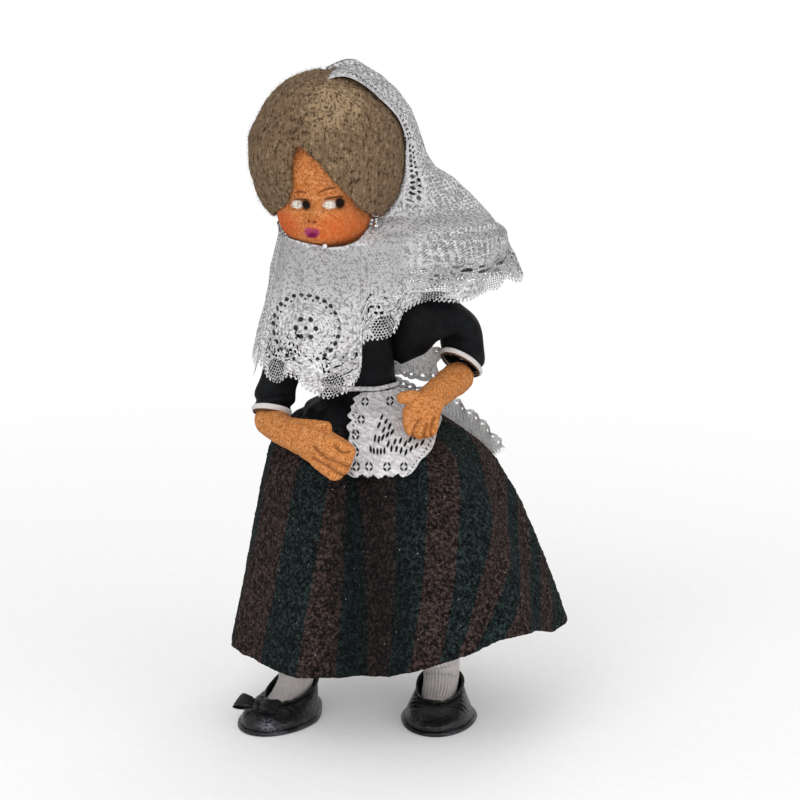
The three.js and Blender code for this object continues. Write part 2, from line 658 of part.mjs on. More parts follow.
// Head, in its own turned frame around the head centre
function headShape(out, up, grow, relief) {
  const level = Math.sin(up);
  const power = level < 0 ? 2.6 : 2.15;
  const girth = Math.pow(1 - Math.pow(Math.abs(level), power), 1 / power);
  const x = Math.sin(out) * (HEAD_HALF[0] + grow) * girth;
  let y = -Math.cos(out) * (HEAD_HALF[1] + grow) * girth;
  const z = level * (HEAD_HALF[2] + grow);
  if (relief) {
    const bump = (cx, cz, wide, high) => Math.exp(-(((x - cx) / wide) ** 2) - ((z - cz) / high) ** 2);
    const front = smooth(Math.cos(out) * 2);
    y -= front * (1.4 * bump(0, -14.2, 3.4, 3) + 1.2 * bump(-9.5, -16, 6, 5) + 1.2 * bump(9.5, -16, 6, 5));
    y += front * (0.8 * bump(-6, -8.6, 5, 3.4) + 0.8 * bump(7, -8.6, 5, 3.4));
  }
  return V(x, y, z).applyAxisAngle(V(0, 0, 1), HEAD_YAW).add(at(HEAD_CENTRE));
}

function headBody(grow, wide, high, relief = false) {
  const rings = [];
  for (let j = 0; j <= high; j++) {
    const up = mix(-1.38, 1.46, j / high);
    rings.push(Array.from({ length: wide }, (_, k) => headShape(2 * Math.PI * k / wide, up, grow, relief)));
  }
  return ringBody(rings);
}

// The hair opening in front of the face, in the head's frame: across and height
const FACE_OPENING = [[-4, 227.4], [-8, 211.5], [-15.2, 202.6], [-17.5, 186], [23, 186], [20.6, 202.2]];
function facePrism() {
  const shape = new THREE.Shape(FACE_OPENING.map(([x, z]) => new THREE.Vector2(x, z)));
  const prism = new THREE.ExtrudeGeometry(shape, { depth: 60, bevelEnabled: false });
  prism.rotateX(Math.PI / 2).translate(0, -3, 0).rotateZ(HEAD_YAW);
  return prism.translate(HEAD_CENTRE[0], HEAD_CENTRE[1], 0);
}

function headHalf(front) {
  const depth = 60;
  const seam = 2.5;
  const low = front ? -depth : seam + GAP;
  const box = block([-depth, low, 150], [depth, front ? seam : depth, 290]);
  return box.rotateZ(HEAD_YAW).translate(HEAD_CENTRE[0], HEAD_CENTRE[1], 0);
}

function buildHead() {
  const skin = headBody(0, 22, 13, true);
  const lining = headBody(-FELT_WALL, 14, 8);
  const neckHole = rod([[...NECK, 180], [...NECK, NECK_TOP + GAP]], (NECK_R + GAP) * 1.02, 20);
  piece('head_stuffing', cut(headBody(-FELT_WALL - GAP, 14, 8), neckHole), 'stuffing');
  piece('face_mask', keep(cut(skin, lining, neckHole), headHalf(true)), 'face_felt');
  piece('head_back', keep(cut(skin, lining, neckHole), headHalf(false)), 'body_felt');
  const wig = new THREE.SphereGeometry(1, 22, 14).rotateX(Math.PI / 2);
  wig.scale(...HAIR_HALF).translate(...HAIR_CENTRE);
  const nape = block([-80, -60, 150], [40, 60, HAIR_BOTTOM]);
  piece('hair', cut(wig, headBody(GAP + FACET * 2, 18, 11, true), facePrism(), nape), 'hair');
}

// Mantilla: reach of the lace round the head's axis, by direction from the front
const DRAPE = [HAIR_CENTRE[0], -3];
const COLLAR_REACH = [22, 26, 35, 66, 68, 48, 33, 27, 22, 17.5, 18, 20.5];
const HOOD_ROOM = 1.6;
const HOOD_START_Z = 226;
const SPLIT = GAP;

function loopValue(list, turn) {
  const place = ((turn % 1) + 1) % 1 * list.length;
  const i = Math.floor(place);
  const t = place - i;
  const [a, b, c, d] = [-1, 0, 1, 2].map((k) => list[(i + k + list.length) % list.length]);
  return b + 0.5 * t * (c - a + t * (2 * a - 5 * b + 4 * c - d + t * (3 * (b - c) + d - a)));
}

function drapePoint(angle, reach, z) {
  return V(DRAPE[0] + Math.sin(angle) * reach, DRAPE[1] - Math.cos(angle) * reach, z);
}

const LACE_COLUMNS = 36;

// The open front of the hood: half-angle of its left and right borders at each height,
// and how far in front of the axis they meet
const HOOD_OPENING = [
  [HEAD_PLANE + 1.1, 5, 5, 0], [193, 34, 50, 0], [196.5, 46, 84, 0], [201, 53, 100, 0], [206, 58, 112, 0],
  [213, 66, 118, 0], [224, 72, 120, 0], [234, 71, 122, 3], [243, 80, 132, 9], [260, 84, 138, 13],
];
function hoodOpening() {
  const arc = 12;
  const rings = HOOD_OPENING.map(([z, left, right, forward]) => {
    const ring = [V(DRAPE[0], DRAPE[1] - forward, z)];
    for (let k = 0; k <= arc; k++) {
      const edge = drapePoint(THREE.MathUtils.degToRad(mix(-right, left, k / arc)), 90, z);
      ring.push(edge.add(V(0, -forward, 0)));
    }
    return ring;
  });
  return ringBody(rings);
}

function hoodPoint(u, v) {
  const angle = 2 * Math.PI * u;
  const equator = 0.55;
  const [middle, high] = [HAIR_CENTRE[2], HAIR_HALF[2]];
  const hair = HAIR_HALF[0] + HOOD_ROOM;
  if (v > equator) {
    const up = (v - equator) / (1 - equator) * 1.53;
    return drapePoint(angle, Math.cos(up) * hair, middle + Math.sin(up) * (high + HOOD_ROOM));
  }
  const z = mix(HEAD_PLANE + SPLIT, middle, v / equator);
  const flare = smooth((HOOD_START_Z - z) / (HOOD_START_Z - HEAD_PLANE));
  const overHair = HAIR_HALF[0] * Math.sqrt(Math.max(0, 1 - ((z - middle) / high) ** 2)) + HOOD_ROOM;
  return drapePoint(angle, Math.max(overHair, mix(hair, loopValue(COLLAR_REACH, u), flare)), z);
}

// The lower edge of the mantilla: direction from the front in degrees, reach and height
const CAPE_EDGE = [
  [0, 21.5, 132], [14, 23, 134.5], [30, 25, 145], [45, 27.5, 153], [62, 31, 159.5], [80, 40, 165],
  [90, 54, 166], [100, 75, 169.5], [110, 80, 170.5], [130, 60, 164], [150, 45, 157], [180, 36, 151],
  [210, 33, 147],
  [240, 31, 144], [264, 29, 142.5], [281, 28.4, 142], [299, 28.4, 138], [316, 28, 134], [338, 25, 138],
  [350, 22, 133.5],
];
function edgeAt(angle, column) {
  const turn = (degrees(angle) % 360 + 360) % 360;
  const count = CAPE_EDGE.length;
  let i = count - 1;
  while (CAPE_EDGE[i][0] > turn) {
    i -= 1;
  }
  const before = CAPE_EDGE[i];
  const after = CAPE_EDGE[(i + 1) % count];
  const span = (after[0] - before[0] + 360) % 360;
  const t = (turn - before[0]) / span;
  return mix(before[column], after[column], t);
}

function capePoint(u, v) {
  const angle = 2 * Math.PI * u;
  const top = loopValue(COLLAR_REACH, u);
  const bottom = edgeAt(angle, 1);
  const z = mix(edgeAt(angle, 2), HEAD_PLANE - SPLIT, v);
  const ripple = 0.8 * Math.sin(11 * angle) * (1 - v);
  return drapePoint(angle, mix(bottom, top, v) + ripple, z);
}

function buildMantilla() {
  const hood = clothBody(hoodPoint, LACE_COLUMNS, 11, LACE_WALL, true);
  piece('mantilla_hood', cut(hood, hoodOpening()), 'lace');
  piece('mantilla_cape', clothBody(capePoint, LACE_COLUMNS, 4, LACE_WALL, true), 'lace');
}

// The apron lies over the flared bodice hem and the skirt: front line by height
const WAIST = TRUNK.find((level) => level.z === 130);
const APRON_ROOM = 0.9;
const FOLD_ROOM = 2.2;
const APRON_EDGES = [
  { z: 130.6, from: -15, to: -1 },
  { z: 127, from: -17.4, to: 8 },
  { z: PEPLUM_Z + 0.4, from: -18.6, to: 13.4 },
  { z: 118.6, from: -18.6, to: 15.4 },
  { z: 113, from: -18.2, to: 12.6 },
  { z: 106, from: -15, to: 3.6 },
];
function levelAt(levels, z) {
  const order = [...levels].sort((a, b) => a.z - b.z);
  const i = Math.min(order.length - 2, Math.max(0, order.findIndex((level) => level.z > z) - 1));
  const t = (z - order[i].z) / (order[i + 1].z - order[i].z);
  return (key) => mix(order[i][key], order[i + 1][key], t);
}

function underApron(z) {
  const rim = levelAt(bodiceLevels(), Math.max(z, PEPLUM_Z));
  const satin = GAP + SATIN_WALL + FOLD_ROOM * smooth((WAIST.z - z) / (WAIST.z - PEPLUM_Z));
  const bodice = { x: rim('x'), y: rim('y'), wide: rim('wide') + satin, deep: rim('deep') + satin };
  const bell = levelAt(SKIRT, z);
  const r = bell('r') + FOLD_ROOM;
  const front = (place) => place.y - place.deep;
  const skirt = { x: bell('x'), y: bell('y'), wide: r, deep: r };
  return z < SKIRT_TOP && front(skirt) < front(bodice) ? skirt : bodice;
}

function apronPoint(u, v) {
  const place = v * (APRON_EDGES.length - 1);
  const i = Math.min(APRON_EDGES.length - 2, Math.floor(place));
  const value = (key) => mix(APRON_EDGES[i][key], APRON_EDGES[i + 1][key], place - i);
  const under = underApron(value('z'));
  const x = mix(value('from'), value('to'), u);
  const across = (x - under.x) / (under.wide + APRON_ROOM);
  const y = under.y - (under.deep + APRON_ROOM + LACE_WALL) * Math.sqrt(Math.max(0.05, 1 - across * across));
  return V(x, y, value('z'));
}

// A band of ribbon that follows the listed points, a ribbon's width wide
function ribbon(points, up, halfWidth) {
  const path = new THREE.CatmullRomCurve3(points.map(at));
  const stand = at(up).normalize();
  const place = (u, v) => path.getPoint(v).addScaledVector(stand, mix(-1, 1, u) * halfWidth(v));
  return clothBody(place, 3, 6, LACE_WALL, false);
}

const BAND_X = -15.3;
const BAND_Z = 132.3;
const BAND_HALF = 1.2;
const BAND_ROOM = 0.65;
const KNOT_HALF = [1.7, 1.4, 2.1];
const KNOT_X = -7;
function buildApron() {
  piece('apron_panel', clothBody((u, v) => apronPoint(1 - u, v), 9, 10, LACE_WALL, false), 'lace');
  const bandGrow = GAP + SATIN_WALL + BAND_ROOM;
  const bandRing = (z, grow) => trunkRing({ ...WAIST, x: BAND_X, z }, bandGrow + grow, 20);
  const outer = ringBody([bandRing(BAND_Z - BAND_HALF, LACE_WALL), bandRing(BAND_Z + BAND_HALF, LACE_WALL)]);
  const inner = ringBody([bandRing(BAND_Z - BAND_HALF - CUT, 0), bandRing(BAND_Z + BAND_HALF + CUT, 0)]);
  piece('apron_waistband', cut(outer, inner), 'lace');
  const bandWide = WAIST.wide + bandGrow + LACE_WALL;
  const bandDeep = WAIST.deep + bandGrow + LACE_WALL;
  const bandBack = WAIST.y + bandDeep * Math.sqrt(1 - ((KNOT_X - BAND_X) / bandWide) ** 2);
  const bow = [KNOT_X, bandBack + GAP + KNOT_HALF[1], BAND_Z];
  const knot = new THREE.SphereGeometry(1, 10, 7).scale(...KNOT_HALF);
  piece('apron_bow_knot', knot.translate(...bow), 'lace');
  const wide = (full) => (v) => full * (0.32 + 0.68 * smooth(v * 2.2));
  const shift = (point) => point.map((value, i) => bow[i] + value);
  const strips = {
    apron_bow_left_loop: [[[2.2, 0.4, 0.8], [11, 1.6, 4.8], [20, 2.2, 3.6]], [0.5, 0, 1], 5.2],
    apron_bow_right_loop: [[[-2.2, 0.6, 0.8], [-7.6, 2, 4], [-14, 1.6, 2.8]], [-0.4, 0, 1], 5],
    apron_bow_left_tail: [
      [[1.6, 1.6, -1.6], [9, 7, -8.2], [22, 13.6, -14.6], [35.6, 19, -28]], [0.5, -0.35, 1], 5.4,
    ],
    apron_bow_right_tail: [
      [[-1, 1.8, -2.4], [-3, 12.4, -9.8], [-5.4, 24.6, -16.4], [-7, 33, -31]], [1, 0.1, 0.1], 5,
    ],
  };
  Object.entries(strips).forEach(([name, [path, up, half]]) => {
    piece(name, ribbon(path.map(shift), up, wide(half)), 'lace');
  });
}

// Earring at the left ear: a wire loop with a drop hanging from it
const EAR = [-4, 200.2];
const EAR_LOOP_R = 1.5;
const EAR_WIRE_R = 0.3;
const DROP_LENGTH = 4.4;
const DROP_R = 1.25;
function buildEarring() {
  const [y, z] = EAR;
  const level = Math.asin((z + EAR_LOOP_R - HEAD_CENTRE[2]) / HEAD_HALF[2]);
  const cheek = headShape(Math.acos(-y / HEAD_HALF[1]), level, GAP + EAR_LOOP_R + EAR_WIRE_R);
  const spot = V(cheek.x, cheek.y, z);
  const loop = new THREE.TorusGeometry(EAR_LOOP_R, EAR_WIRE_R, 5, 12).rotateX(Math.PI / 2);
  piece('earring_loop', loop.translate(...spot.toArray()), 'silver');
  const top = spot.z - EAR_LOOP_R - EAR_WIRE_R - GAP;
  const profile = [
    [0, 0], [0.5, -0.3], [0.55, -0.9], [DROP_R, -2.6], [DROP_R * 0.8, -DROP_LENGTH + 0.5], [0, -DROP_LENGTH],
  ];
  const drop = new THREE.LatheGeometry(profile.map(([r, h]) => new THREE.Vector2(r, h)), 10);
  piece('earring_drop', drop.rotateX(Math.PI / 2).translate(spot.x, spot.y, top), 'silver');
}

const PIN = [-27.6, -27.2, 190.9];
function buildPin() {
  const shank = rod([[PIN[0] - 6, PIN[1], PIN[2] - 0.4], PIN], 0.35, 6);
  piece('mantilla_pin', join(ball(PIN, 1.3, 10, 8), shank), 'pearl');
}

buildTorso();
buildBodice();
buildApron();
['right', 'left'].forEach((side) => {
  buildArm(side);
  buildLeg(side);
  buildFoot(side);
});
buildSkirt();
buildHead();
buildMantilla();
buildEarring();
buildPin();

export default doll;
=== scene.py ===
"""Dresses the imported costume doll: felt, mohair, lace, striped wool, satin, knit and patent."""
import math

import bmesh
import bpy
import numpy as np
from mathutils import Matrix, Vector, noise


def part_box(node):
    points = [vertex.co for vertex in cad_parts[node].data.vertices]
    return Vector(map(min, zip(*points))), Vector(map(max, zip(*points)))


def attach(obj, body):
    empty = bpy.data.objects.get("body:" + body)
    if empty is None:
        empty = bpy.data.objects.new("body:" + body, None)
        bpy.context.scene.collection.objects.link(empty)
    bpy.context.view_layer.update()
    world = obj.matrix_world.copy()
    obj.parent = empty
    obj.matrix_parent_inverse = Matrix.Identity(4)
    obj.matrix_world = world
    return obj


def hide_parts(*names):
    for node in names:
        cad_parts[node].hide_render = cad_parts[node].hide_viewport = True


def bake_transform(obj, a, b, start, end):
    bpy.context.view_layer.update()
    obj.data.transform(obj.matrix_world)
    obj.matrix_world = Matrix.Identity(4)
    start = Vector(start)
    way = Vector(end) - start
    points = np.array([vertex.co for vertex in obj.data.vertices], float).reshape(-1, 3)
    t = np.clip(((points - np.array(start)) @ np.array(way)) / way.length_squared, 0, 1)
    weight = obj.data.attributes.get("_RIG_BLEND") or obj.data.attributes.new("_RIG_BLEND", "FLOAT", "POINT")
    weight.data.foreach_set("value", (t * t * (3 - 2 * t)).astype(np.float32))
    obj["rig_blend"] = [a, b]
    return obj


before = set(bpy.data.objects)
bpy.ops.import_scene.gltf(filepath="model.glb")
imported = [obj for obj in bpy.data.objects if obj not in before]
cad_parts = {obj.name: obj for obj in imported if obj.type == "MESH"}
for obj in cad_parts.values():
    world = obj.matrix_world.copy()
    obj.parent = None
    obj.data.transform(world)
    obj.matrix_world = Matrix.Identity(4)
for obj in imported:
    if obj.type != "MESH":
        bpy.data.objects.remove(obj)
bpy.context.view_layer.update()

bl_info = {
    "name": "Costume Doll Dressing",
    "version": (1, 0, 0),
    "blender": (4, 5, 0),
    "location": "3D View > Sidebar > Doll",
    "description": "Builds the felt, lace, wool, satin and patent pieces of a standing costume doll",
    "category": "Object",
}

MM = 0.001
SIDES = ("right", "left")

# Places on the doll in millimetres, as the frame has them
HEAD_CENTRE = np.array([-28.0, -6.2, 216.0])
HEAD_HALF = np.array([20.4, 21.0, 25.2])
HEAD_YAW = math.radians(-10)
HAIR_CENTRE = np.array([-27.5, -2.2, 224.0])
HAIR_HALF = np.array([29.4, 28.0, 28.2])
HAIR_LOW = 31.0
HEAD_PLANE = 189.0
SHOULDER = {"right": (-40.2, 4, 158.4), "left": (5.4, 4, 158.4)}
KNEE = {"right": (-33, 1, 57), "left": (9, 1, 57)}
ANKLE = {"right": (-40.5, 1, 17), "left": (16.3, 3, 17)}
FOOT_YAW = {"right": math.radians(-28), "left": math.radians(-8)}
UPPER_ARM = {
    "right": [SHOULDER["right"], (-43.6, -0.6, 144.4), (-47.5, -5.9, 127.2)],
    "left": [SHOULDER["left"], (16, 9.2, 156.4), (24.2, 12.8, 149), (24, 12, 139)],
}


# ---------------------------------------------------------------- sizes and colours

def size_property(name, description, metres):
    return bpy.props.FloatProperty(name=name, description=description, default=metres, unit="LENGTH")


class DollSizes(bpy.types.PropertyGroup):
    """Sizes of the cloths, in metres."""

    stripe: size_property("Stripe", "Width of one skirt stripe", 0.0115)
    net_cell: size_property("Net cell", "Width of one cell of the open lace", 0.0019)
    scallop: size_property("Scallop", "Spacing of the fans along the lace edge", 0.0245)
    scallop_depth: size_property("Scallop depth", "How far a fan hangs below the edge", 0.0032)
    rib: size_property("Stocking rib", "Width of one knitted rib", 0.0016)
    yarn: size_property("Skirt yarn", "Thickness of the skirt's looped yarn", 0.0013)
    fuzz: size_property("Hair fuzz", "Length of the loose hairs on the wig", 0.0022)


def colour_property(name, description, value):
    return bpy.props.FloatVectorProperty(
        name=name, description=description, default=value, size=3, min=0, max=1, subtype="COLOR")


class DollColours(bpy.types.PropertyGroup):
    """Colours of the cloths, as linear light."""

    face: colour_property("Face felt", "Orange tan felt of the face", (0.52, 0.200, 0.058))
    hand: colour_property("Hand felt", "Orange tan felt of the hands", (0.56, 0.235, 0.066))
    body: colour_property("Body felt", "Paler felt of the hidden limbs", (0.55, 0.34, 0.18))
    hair: colour_property("Hair", "Ash brown mohair", (0.190, 0.125, 0.072))
    # Hair light is the paler mohair over the upper front of the crown
    hair_light: colour_property("Hair light", "Paler-toned mohair at the crown", (0.38, 0.265, 0.155))
    lace: colour_property("Lace", "White cotton", (0.80, 0.785, 0.80))
    satin: colour_property("Satin", "Black satin", (0.0022, 0.0024, 0.0036))
    satin_sheen: colour_property("Satin light", "Grey where the satin catches light", (0.010, 0.013, 0.015))
    green: colour_property("Green stripe", "Dark green wool", (0.0085, 0.0125, 0.0135))
    brown: colour_property("Brown stripe", "Maroon brown wool", (0.026, 0.0175, 0.0165))
    stocking: colour_property("Stocking", "Off-white knit", (0.93, 0.87, 0.84))
    patent: colour_property("Shoe", "Black patent", (0.0028, 0.0028, 0.0036))
    cuff: colour_property("Cuff cord", "White cord", (0.97, 0.92, 0.91))


# ---------------------------------------------------------------- small sums

def mix(a, b, t):
    return a + (b - a) * t


def smooth(t):
    t = np.clip(t, 0, 1)
    return t * t * (3 - 2 * t)


def unit(vector):
    vector = np.asarray(vector, float)
    return vector / np.maximum(np.linalg.norm(vector, axis=-1, keepdims=True), 1e-9)


def hump(x, middle, width):
    return np.exp(-((x - middle) / width) ** 2)


def circle(count):
    """Angles once round a circle."""
    return np.linspace(0, 2 * math.pi, count, endpoint=False)


def lengths_along(line):
    """Length along a line of points, up to each of them."""
    return np.concatenate([[0], np.cumsum(np.linalg.norm(np.diff(line, axis=0), axis=1))])


def table_value(table, x, column=1):
    """A column of a table, read at x in its first column."""
    rows = np.array(table, float)
    return np.interp(x, rows[:, 0], rows[:, column])


def dimmed(colour, *shares):
    """A colour times one share, or times one for each channel."""
    return tuple(c * k for c, k in zip(colour, shares if len(shares) == 3 else shares * 3))


def lumps(points, size, seed=0.0):
    """Soft random relief from -1 to 1 at each point, of lumps about that size."""
    flat = np.asarray(points, float).reshape(-1, 3) / size + seed
    values = [noise.noise(Vector(p)) for p in flat]
    return np.array(values).reshape(np.asarray(points).shape[:-1])


def curve(points, ts):
    """Points at 0 to 1 along a smooth curve through the listed points."""
    p = np.asarray(points, float)
    first, last = 2 * p[0] - p[1], 2 * p[-1] - p[-2]
    p = np.vstack([first, p, last])
    spans = np.maximum(np.linalg.norm(np.diff(p, axis=0), axis=1) ** 0.5, 1e-6)
    found = []
    for t in np.atleast_1d(ts):
        place = min(max(t, 0), 1) * (len(p) - 3)
        i = min(int(place), len(p) - 4)
        w = place - i
        a, b, c, d = p[i:i + 4]
        s0, s1, s2 = spans[i:i + 3]
        if s1 < 1e-4:
            s0 = s1 = s2 = 1.0
        m1 = ((b - a) / s0 - (c - a) / (s0 + s1) + (c - b) / s1) * s1
        m2 = ((c - b) / s1 - (d - b) / (s1 + s2) + (d - c) / s2) * s1
        found.append(b + m1 * w + (3 * (c - b) - 2 * m1 - m2) * w ** 2 + (2 * (b - c) + m1 + m2) * w ** 3)
    return np.array(found)


def loop_value(values, turn):
    """A smooth value round a closed list, at turn 0 to 1."""
    values = np.asarray(values, float)
    n = len(values)
    place = np.mod(turn, 1.0) * n
    i = np.floor(place).astype(int)
    t = place - i
    a, b, c, d = (values[(i + k) % n] for k in (-1, 0, 1, 2))
    return b + 0.5 * t * (c - a + t * (2 * a - 5 * b + 4 * c - d + t * (3 * (b - c) + d - a)))


def turned(points, centre, angle):
    """Points turned about an upright line through centre."""
    p = np.asarray(points, float) - centre
    c, s = math.cos(angle), math.sin(angle)
    return np.stack([p[..., 0] * c - p[..., 1] * s, p[..., 0] * s + p[..., 1] * c, p[..., 2]], -1) + centre


# ---------------------------------------------------------------- making pieces

def sheet_faces(rows, columns, closed=False, start=0):
    """Four-sided faces of a grid of points, row by row."""
    wide = columns if closed else columns - 1
    i, j = np.meshgrid(np.arange(rows - 1), np.arange(wide), indexing="ij")
    a = start + i * columns + j
    b = start + i * columns + (j + 1) % columns
    return np.stack([a, b, b + columns, a + columns], -1).reshape(-1, 4).tolist()


def placed(name, data):
    """A new object in the scene."""
    obj = bpy.data.objects.new(name, data)
    bpy.context.scene.collection.objects.link(obj)
    return obj


def new_piece(name, points, faces, material, marks=None):
    """An object from points in millimetres; each piece remembers where its points were at rest."""
    points = np.asarray(points, float).reshape(-1, 3)
    mesh = bpy.data.meshes.new(name)
    mesh.from_pydata((points * MM).tolist(), [], faces)
    mesh.update()
    mesh.shade_smooth()
    obj = placed(name, mesh)
    remember(obj, marks)
    mesh.materials.append(material)
    return obj


def store(mesh, key, values):
    """Stores a named value on each point of a mesh."""
    layer = mesh.attributes.new(key, "FLOAT", "POINT")
    layer.data.foreach_set("value", np.asarray(values, np.float32).ravel())


def remember(obj, marks=None):
    """Stores the rest place in millimetres and the named values on the points of a piece."""
    mesh = obj.data
    if "rest" in mesh.attributes:
        mesh.attributes.remove(mesh.attributes["rest"])
    layer = mesh.attributes.new("rest", "FLOAT_VECTOR", "POINT")
    layer.data.foreach_set("vector", points_of(obj).astype(np.float32).ravel())
    for key, values in (marks or {}).items():
        store(mesh, key, values)


def cover(obj, material):
    """Takes a piece's materials off and puts one on."""
    obj.data.materials.clear()
    obj.data.materials.append(material)


def read_vertices(obj, key):
    values = np.empty(len(obj.data.vertices) * 3)
    obj.data.vertices.foreach_get(key, values)
    return values.reshape(-1, 3)


def points_of(obj):
    """Where a piece's points are, in millimetres."""
    return read_vertices(obj, "co") / MM


def set_points(obj, points):
    obj.data.vertices.foreach_set("co", (np.asarray(points) * MM).ravel())
    obj.data.update()


def settle(obj, kind, **settings):
    """Adds a modifier and applies it, so that the mesh is final."""
    modifier = obj.modifiers.new(kind.lower(), kind)
    for key, value in settings.items():
        setattr(modifier, key, value)
    depsgraph = bpy.context.evaluated_depsgraph_get()
    made = bpy.data.meshes.new_from_object(obj.evaluated_get(depsgraph))
    obj.modifiers.clear()
    old = obj.data
    obj.data = made
    made.name = obj.name
    if old.users == 0:
        bpy.data.meshes.remove(old)
    return obj


def tidy_normals(obj):
    """Turns every face of a closed form outwards."""
    form = bmesh.new()
    form.from_mesh(obj.data)
    bmesh.ops.recalc_face_normals(form, faces=form.faces)
    form.to_mesh(obj.data)
    form.free()


def near_lines(points, lines):
    """Distance from each point to the nearest of the listed lines."""
    best = np.full(len(points), 1e9)
    for line in lines:
        for place in curve(line, np.linspace(0, 1, 24)):
            best = np.minimum(best, np.linalg.norm(points - place, axis=1))
    return best


def stuffed_copy(name, node, grain, rounds, material, shape=None, pads=()):
    """A softened, finely meshed form of a stuffed solid of the frame."""
    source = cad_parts[node]
    mesh = bpy.data.meshes.new_from_object(source)
    mesh.transform(source.matrix_world)
    mesh.materials.clear()
    for key in [a.name for a in mesh.attributes if not a.is_internal and a.name != "position"]:
        if key in mesh.attributes and not mesh.attributes[key].is_required:
            mesh.attributes.remove(mesh.attributes[key])
    obj = placed(name, mesh)
    if pads:
        obj = joined(name, [obj] + [ring_piece("pad", rings, material, fill=(True, True)) for rings in pads])
    settle(obj, "REMESH", mode="VOXEL", voxel_size=grain * MM, use_smooth_shade=True)
    settle(obj, "SMOOTH", factor=0.5, iterations=rounds)
    if shape is not None:
        set_points(obj, shape(points_of(obj), read_vertices(obj, "normal")))
    obj.data.shade_smooth()
    remember(obj)
    cover(obj, material)
    return obj


def along_path(path, side, ts):
    """Points along a path, the ways ahead and across there, and the way square to both."""
    middle = curve(path, ts)
    ahead = unit(np.gradient(middle, axis=0))
    across = unit(side - ahead * (ahead @ side)[:, None])
    return middle, ahead, across, np.cross(ahead, across)


def sweep(path, sizes, side, rows, columns, ends=(False, False), detail=None):
    """Rings of points round a curve; sizes are half-widths across and through at each path point."""
    ts = np.linspace(0, 1, rows)
    middle, ahead, across, through = along_path(path, side, ts)
    size = curve([(w, d, 0) for w, d in sizes], ts)[:, :2]
    angles = circle(columns)
    grow = np.zeros((rows, columns)) if detail is None else detail(ts[:, None], angles[None, :])
    half = size[:, None, :] + grow[..., None]
    rings = (middle[:, None] + across[:, None] * (np.cos(angles) * half[..., 0])[..., None]
             + through[:, None] * (np.sin(angles) * half[..., 1])[..., None])
    caps = []
    for which, index, sign in ((0, 0, -1), (1, -1, 1)):
        bend = np.radians([25, 45, 62, 76, 86])
        cap = [middle[index] + (rings[index] - middle[index]) * math.cos(a)
               + ahead[index] * sign * math.sin(a) * size[index].min() for a in bend]
        caps.append(np.array(cap) if ends[which] else np.zeros((0, columns, 3)))
    return np.concatenate([caps[0][::-1], rings, caps[1]])


def ring_piece(name, rings, material, marks=None, fill=(False, False)):
    """A piece from closed rings of points, with its ends filled where asked."""
    rows, columns = rings.shape[:2]
    faces = sheet_faces(rows, columns, closed=True)
    if fill[0]:
        faces.append(list(range(columns))[::-1])
    if fill[1]:
        faces.append(list(range((rows - 1) * columns, rows * columns)))
    return new_piece(name, rings, faces, material, marks)


def joined(name, pieces):
    """Several objects made into one, keeping their marks and materials."""
    with bpy.context.temp_override(active_object=pieces[0], object=pieces[0],
                                   selected_objects=pieces, selected_editable_objects=pieces):
        bpy.ops.object.join()
    pieces[0].name = name
    pieces[0].data.name = name
    return pieces[0]


def seat(obj, body, slot, *nodes):
    """Lets a piece ride on its body and stand for its solids, which are hidden; the slot is not used."""
    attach(obj, body)
    if nodes:
        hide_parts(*nodes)
    return obj


def across_joint(obj, bodies, start, end, slot, *nodes):
    """Lets a piece bend across one joint between two points in millimetres."""
    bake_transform(obj, *bodies, start=tuple(np.asarray(start) * MM), end=tuple(np.asarray(end) * MM))
    if nodes:
        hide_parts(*nodes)
    return obj


# ---------------------------------------------------------------- laying nodes

def step(operation):
    """A way for a wire to meet another in one Math node."""
    return lambda wire, other: wire.math(operation, other)


class Wire:
    """A node's output that adds and multiplies with others, one Math node at a time."""

    def __init__(self, board, socket):
        self.board = board
        self.socket = socket

    def math(self, operation, other=None, third=None):
        node = self.board.tree.nodes.new("ShaderNodeMath")
        node.operation = operation
        for slot, value in zip(node.inputs, (self, other, third)):
            if value is not None:
                self.board.feed(slot, value)
        return Wire(self.board, node.outputs[0])

    __add__ = __radd__ = step("ADD")
    __sub__ = step("SUBTRACT")
    __mul__ = step("MULTIPLY")
    __truediv__ = step("DIVIDE")
    low = step("MINIMUM")
    high = step("MAXIMUM")

    def __rsub__(self, other):
        return self * -1.0 + other

    def wrap(self, half):
        """Repeats from -half to half."""
        return self.math("WRAP", half, -half)


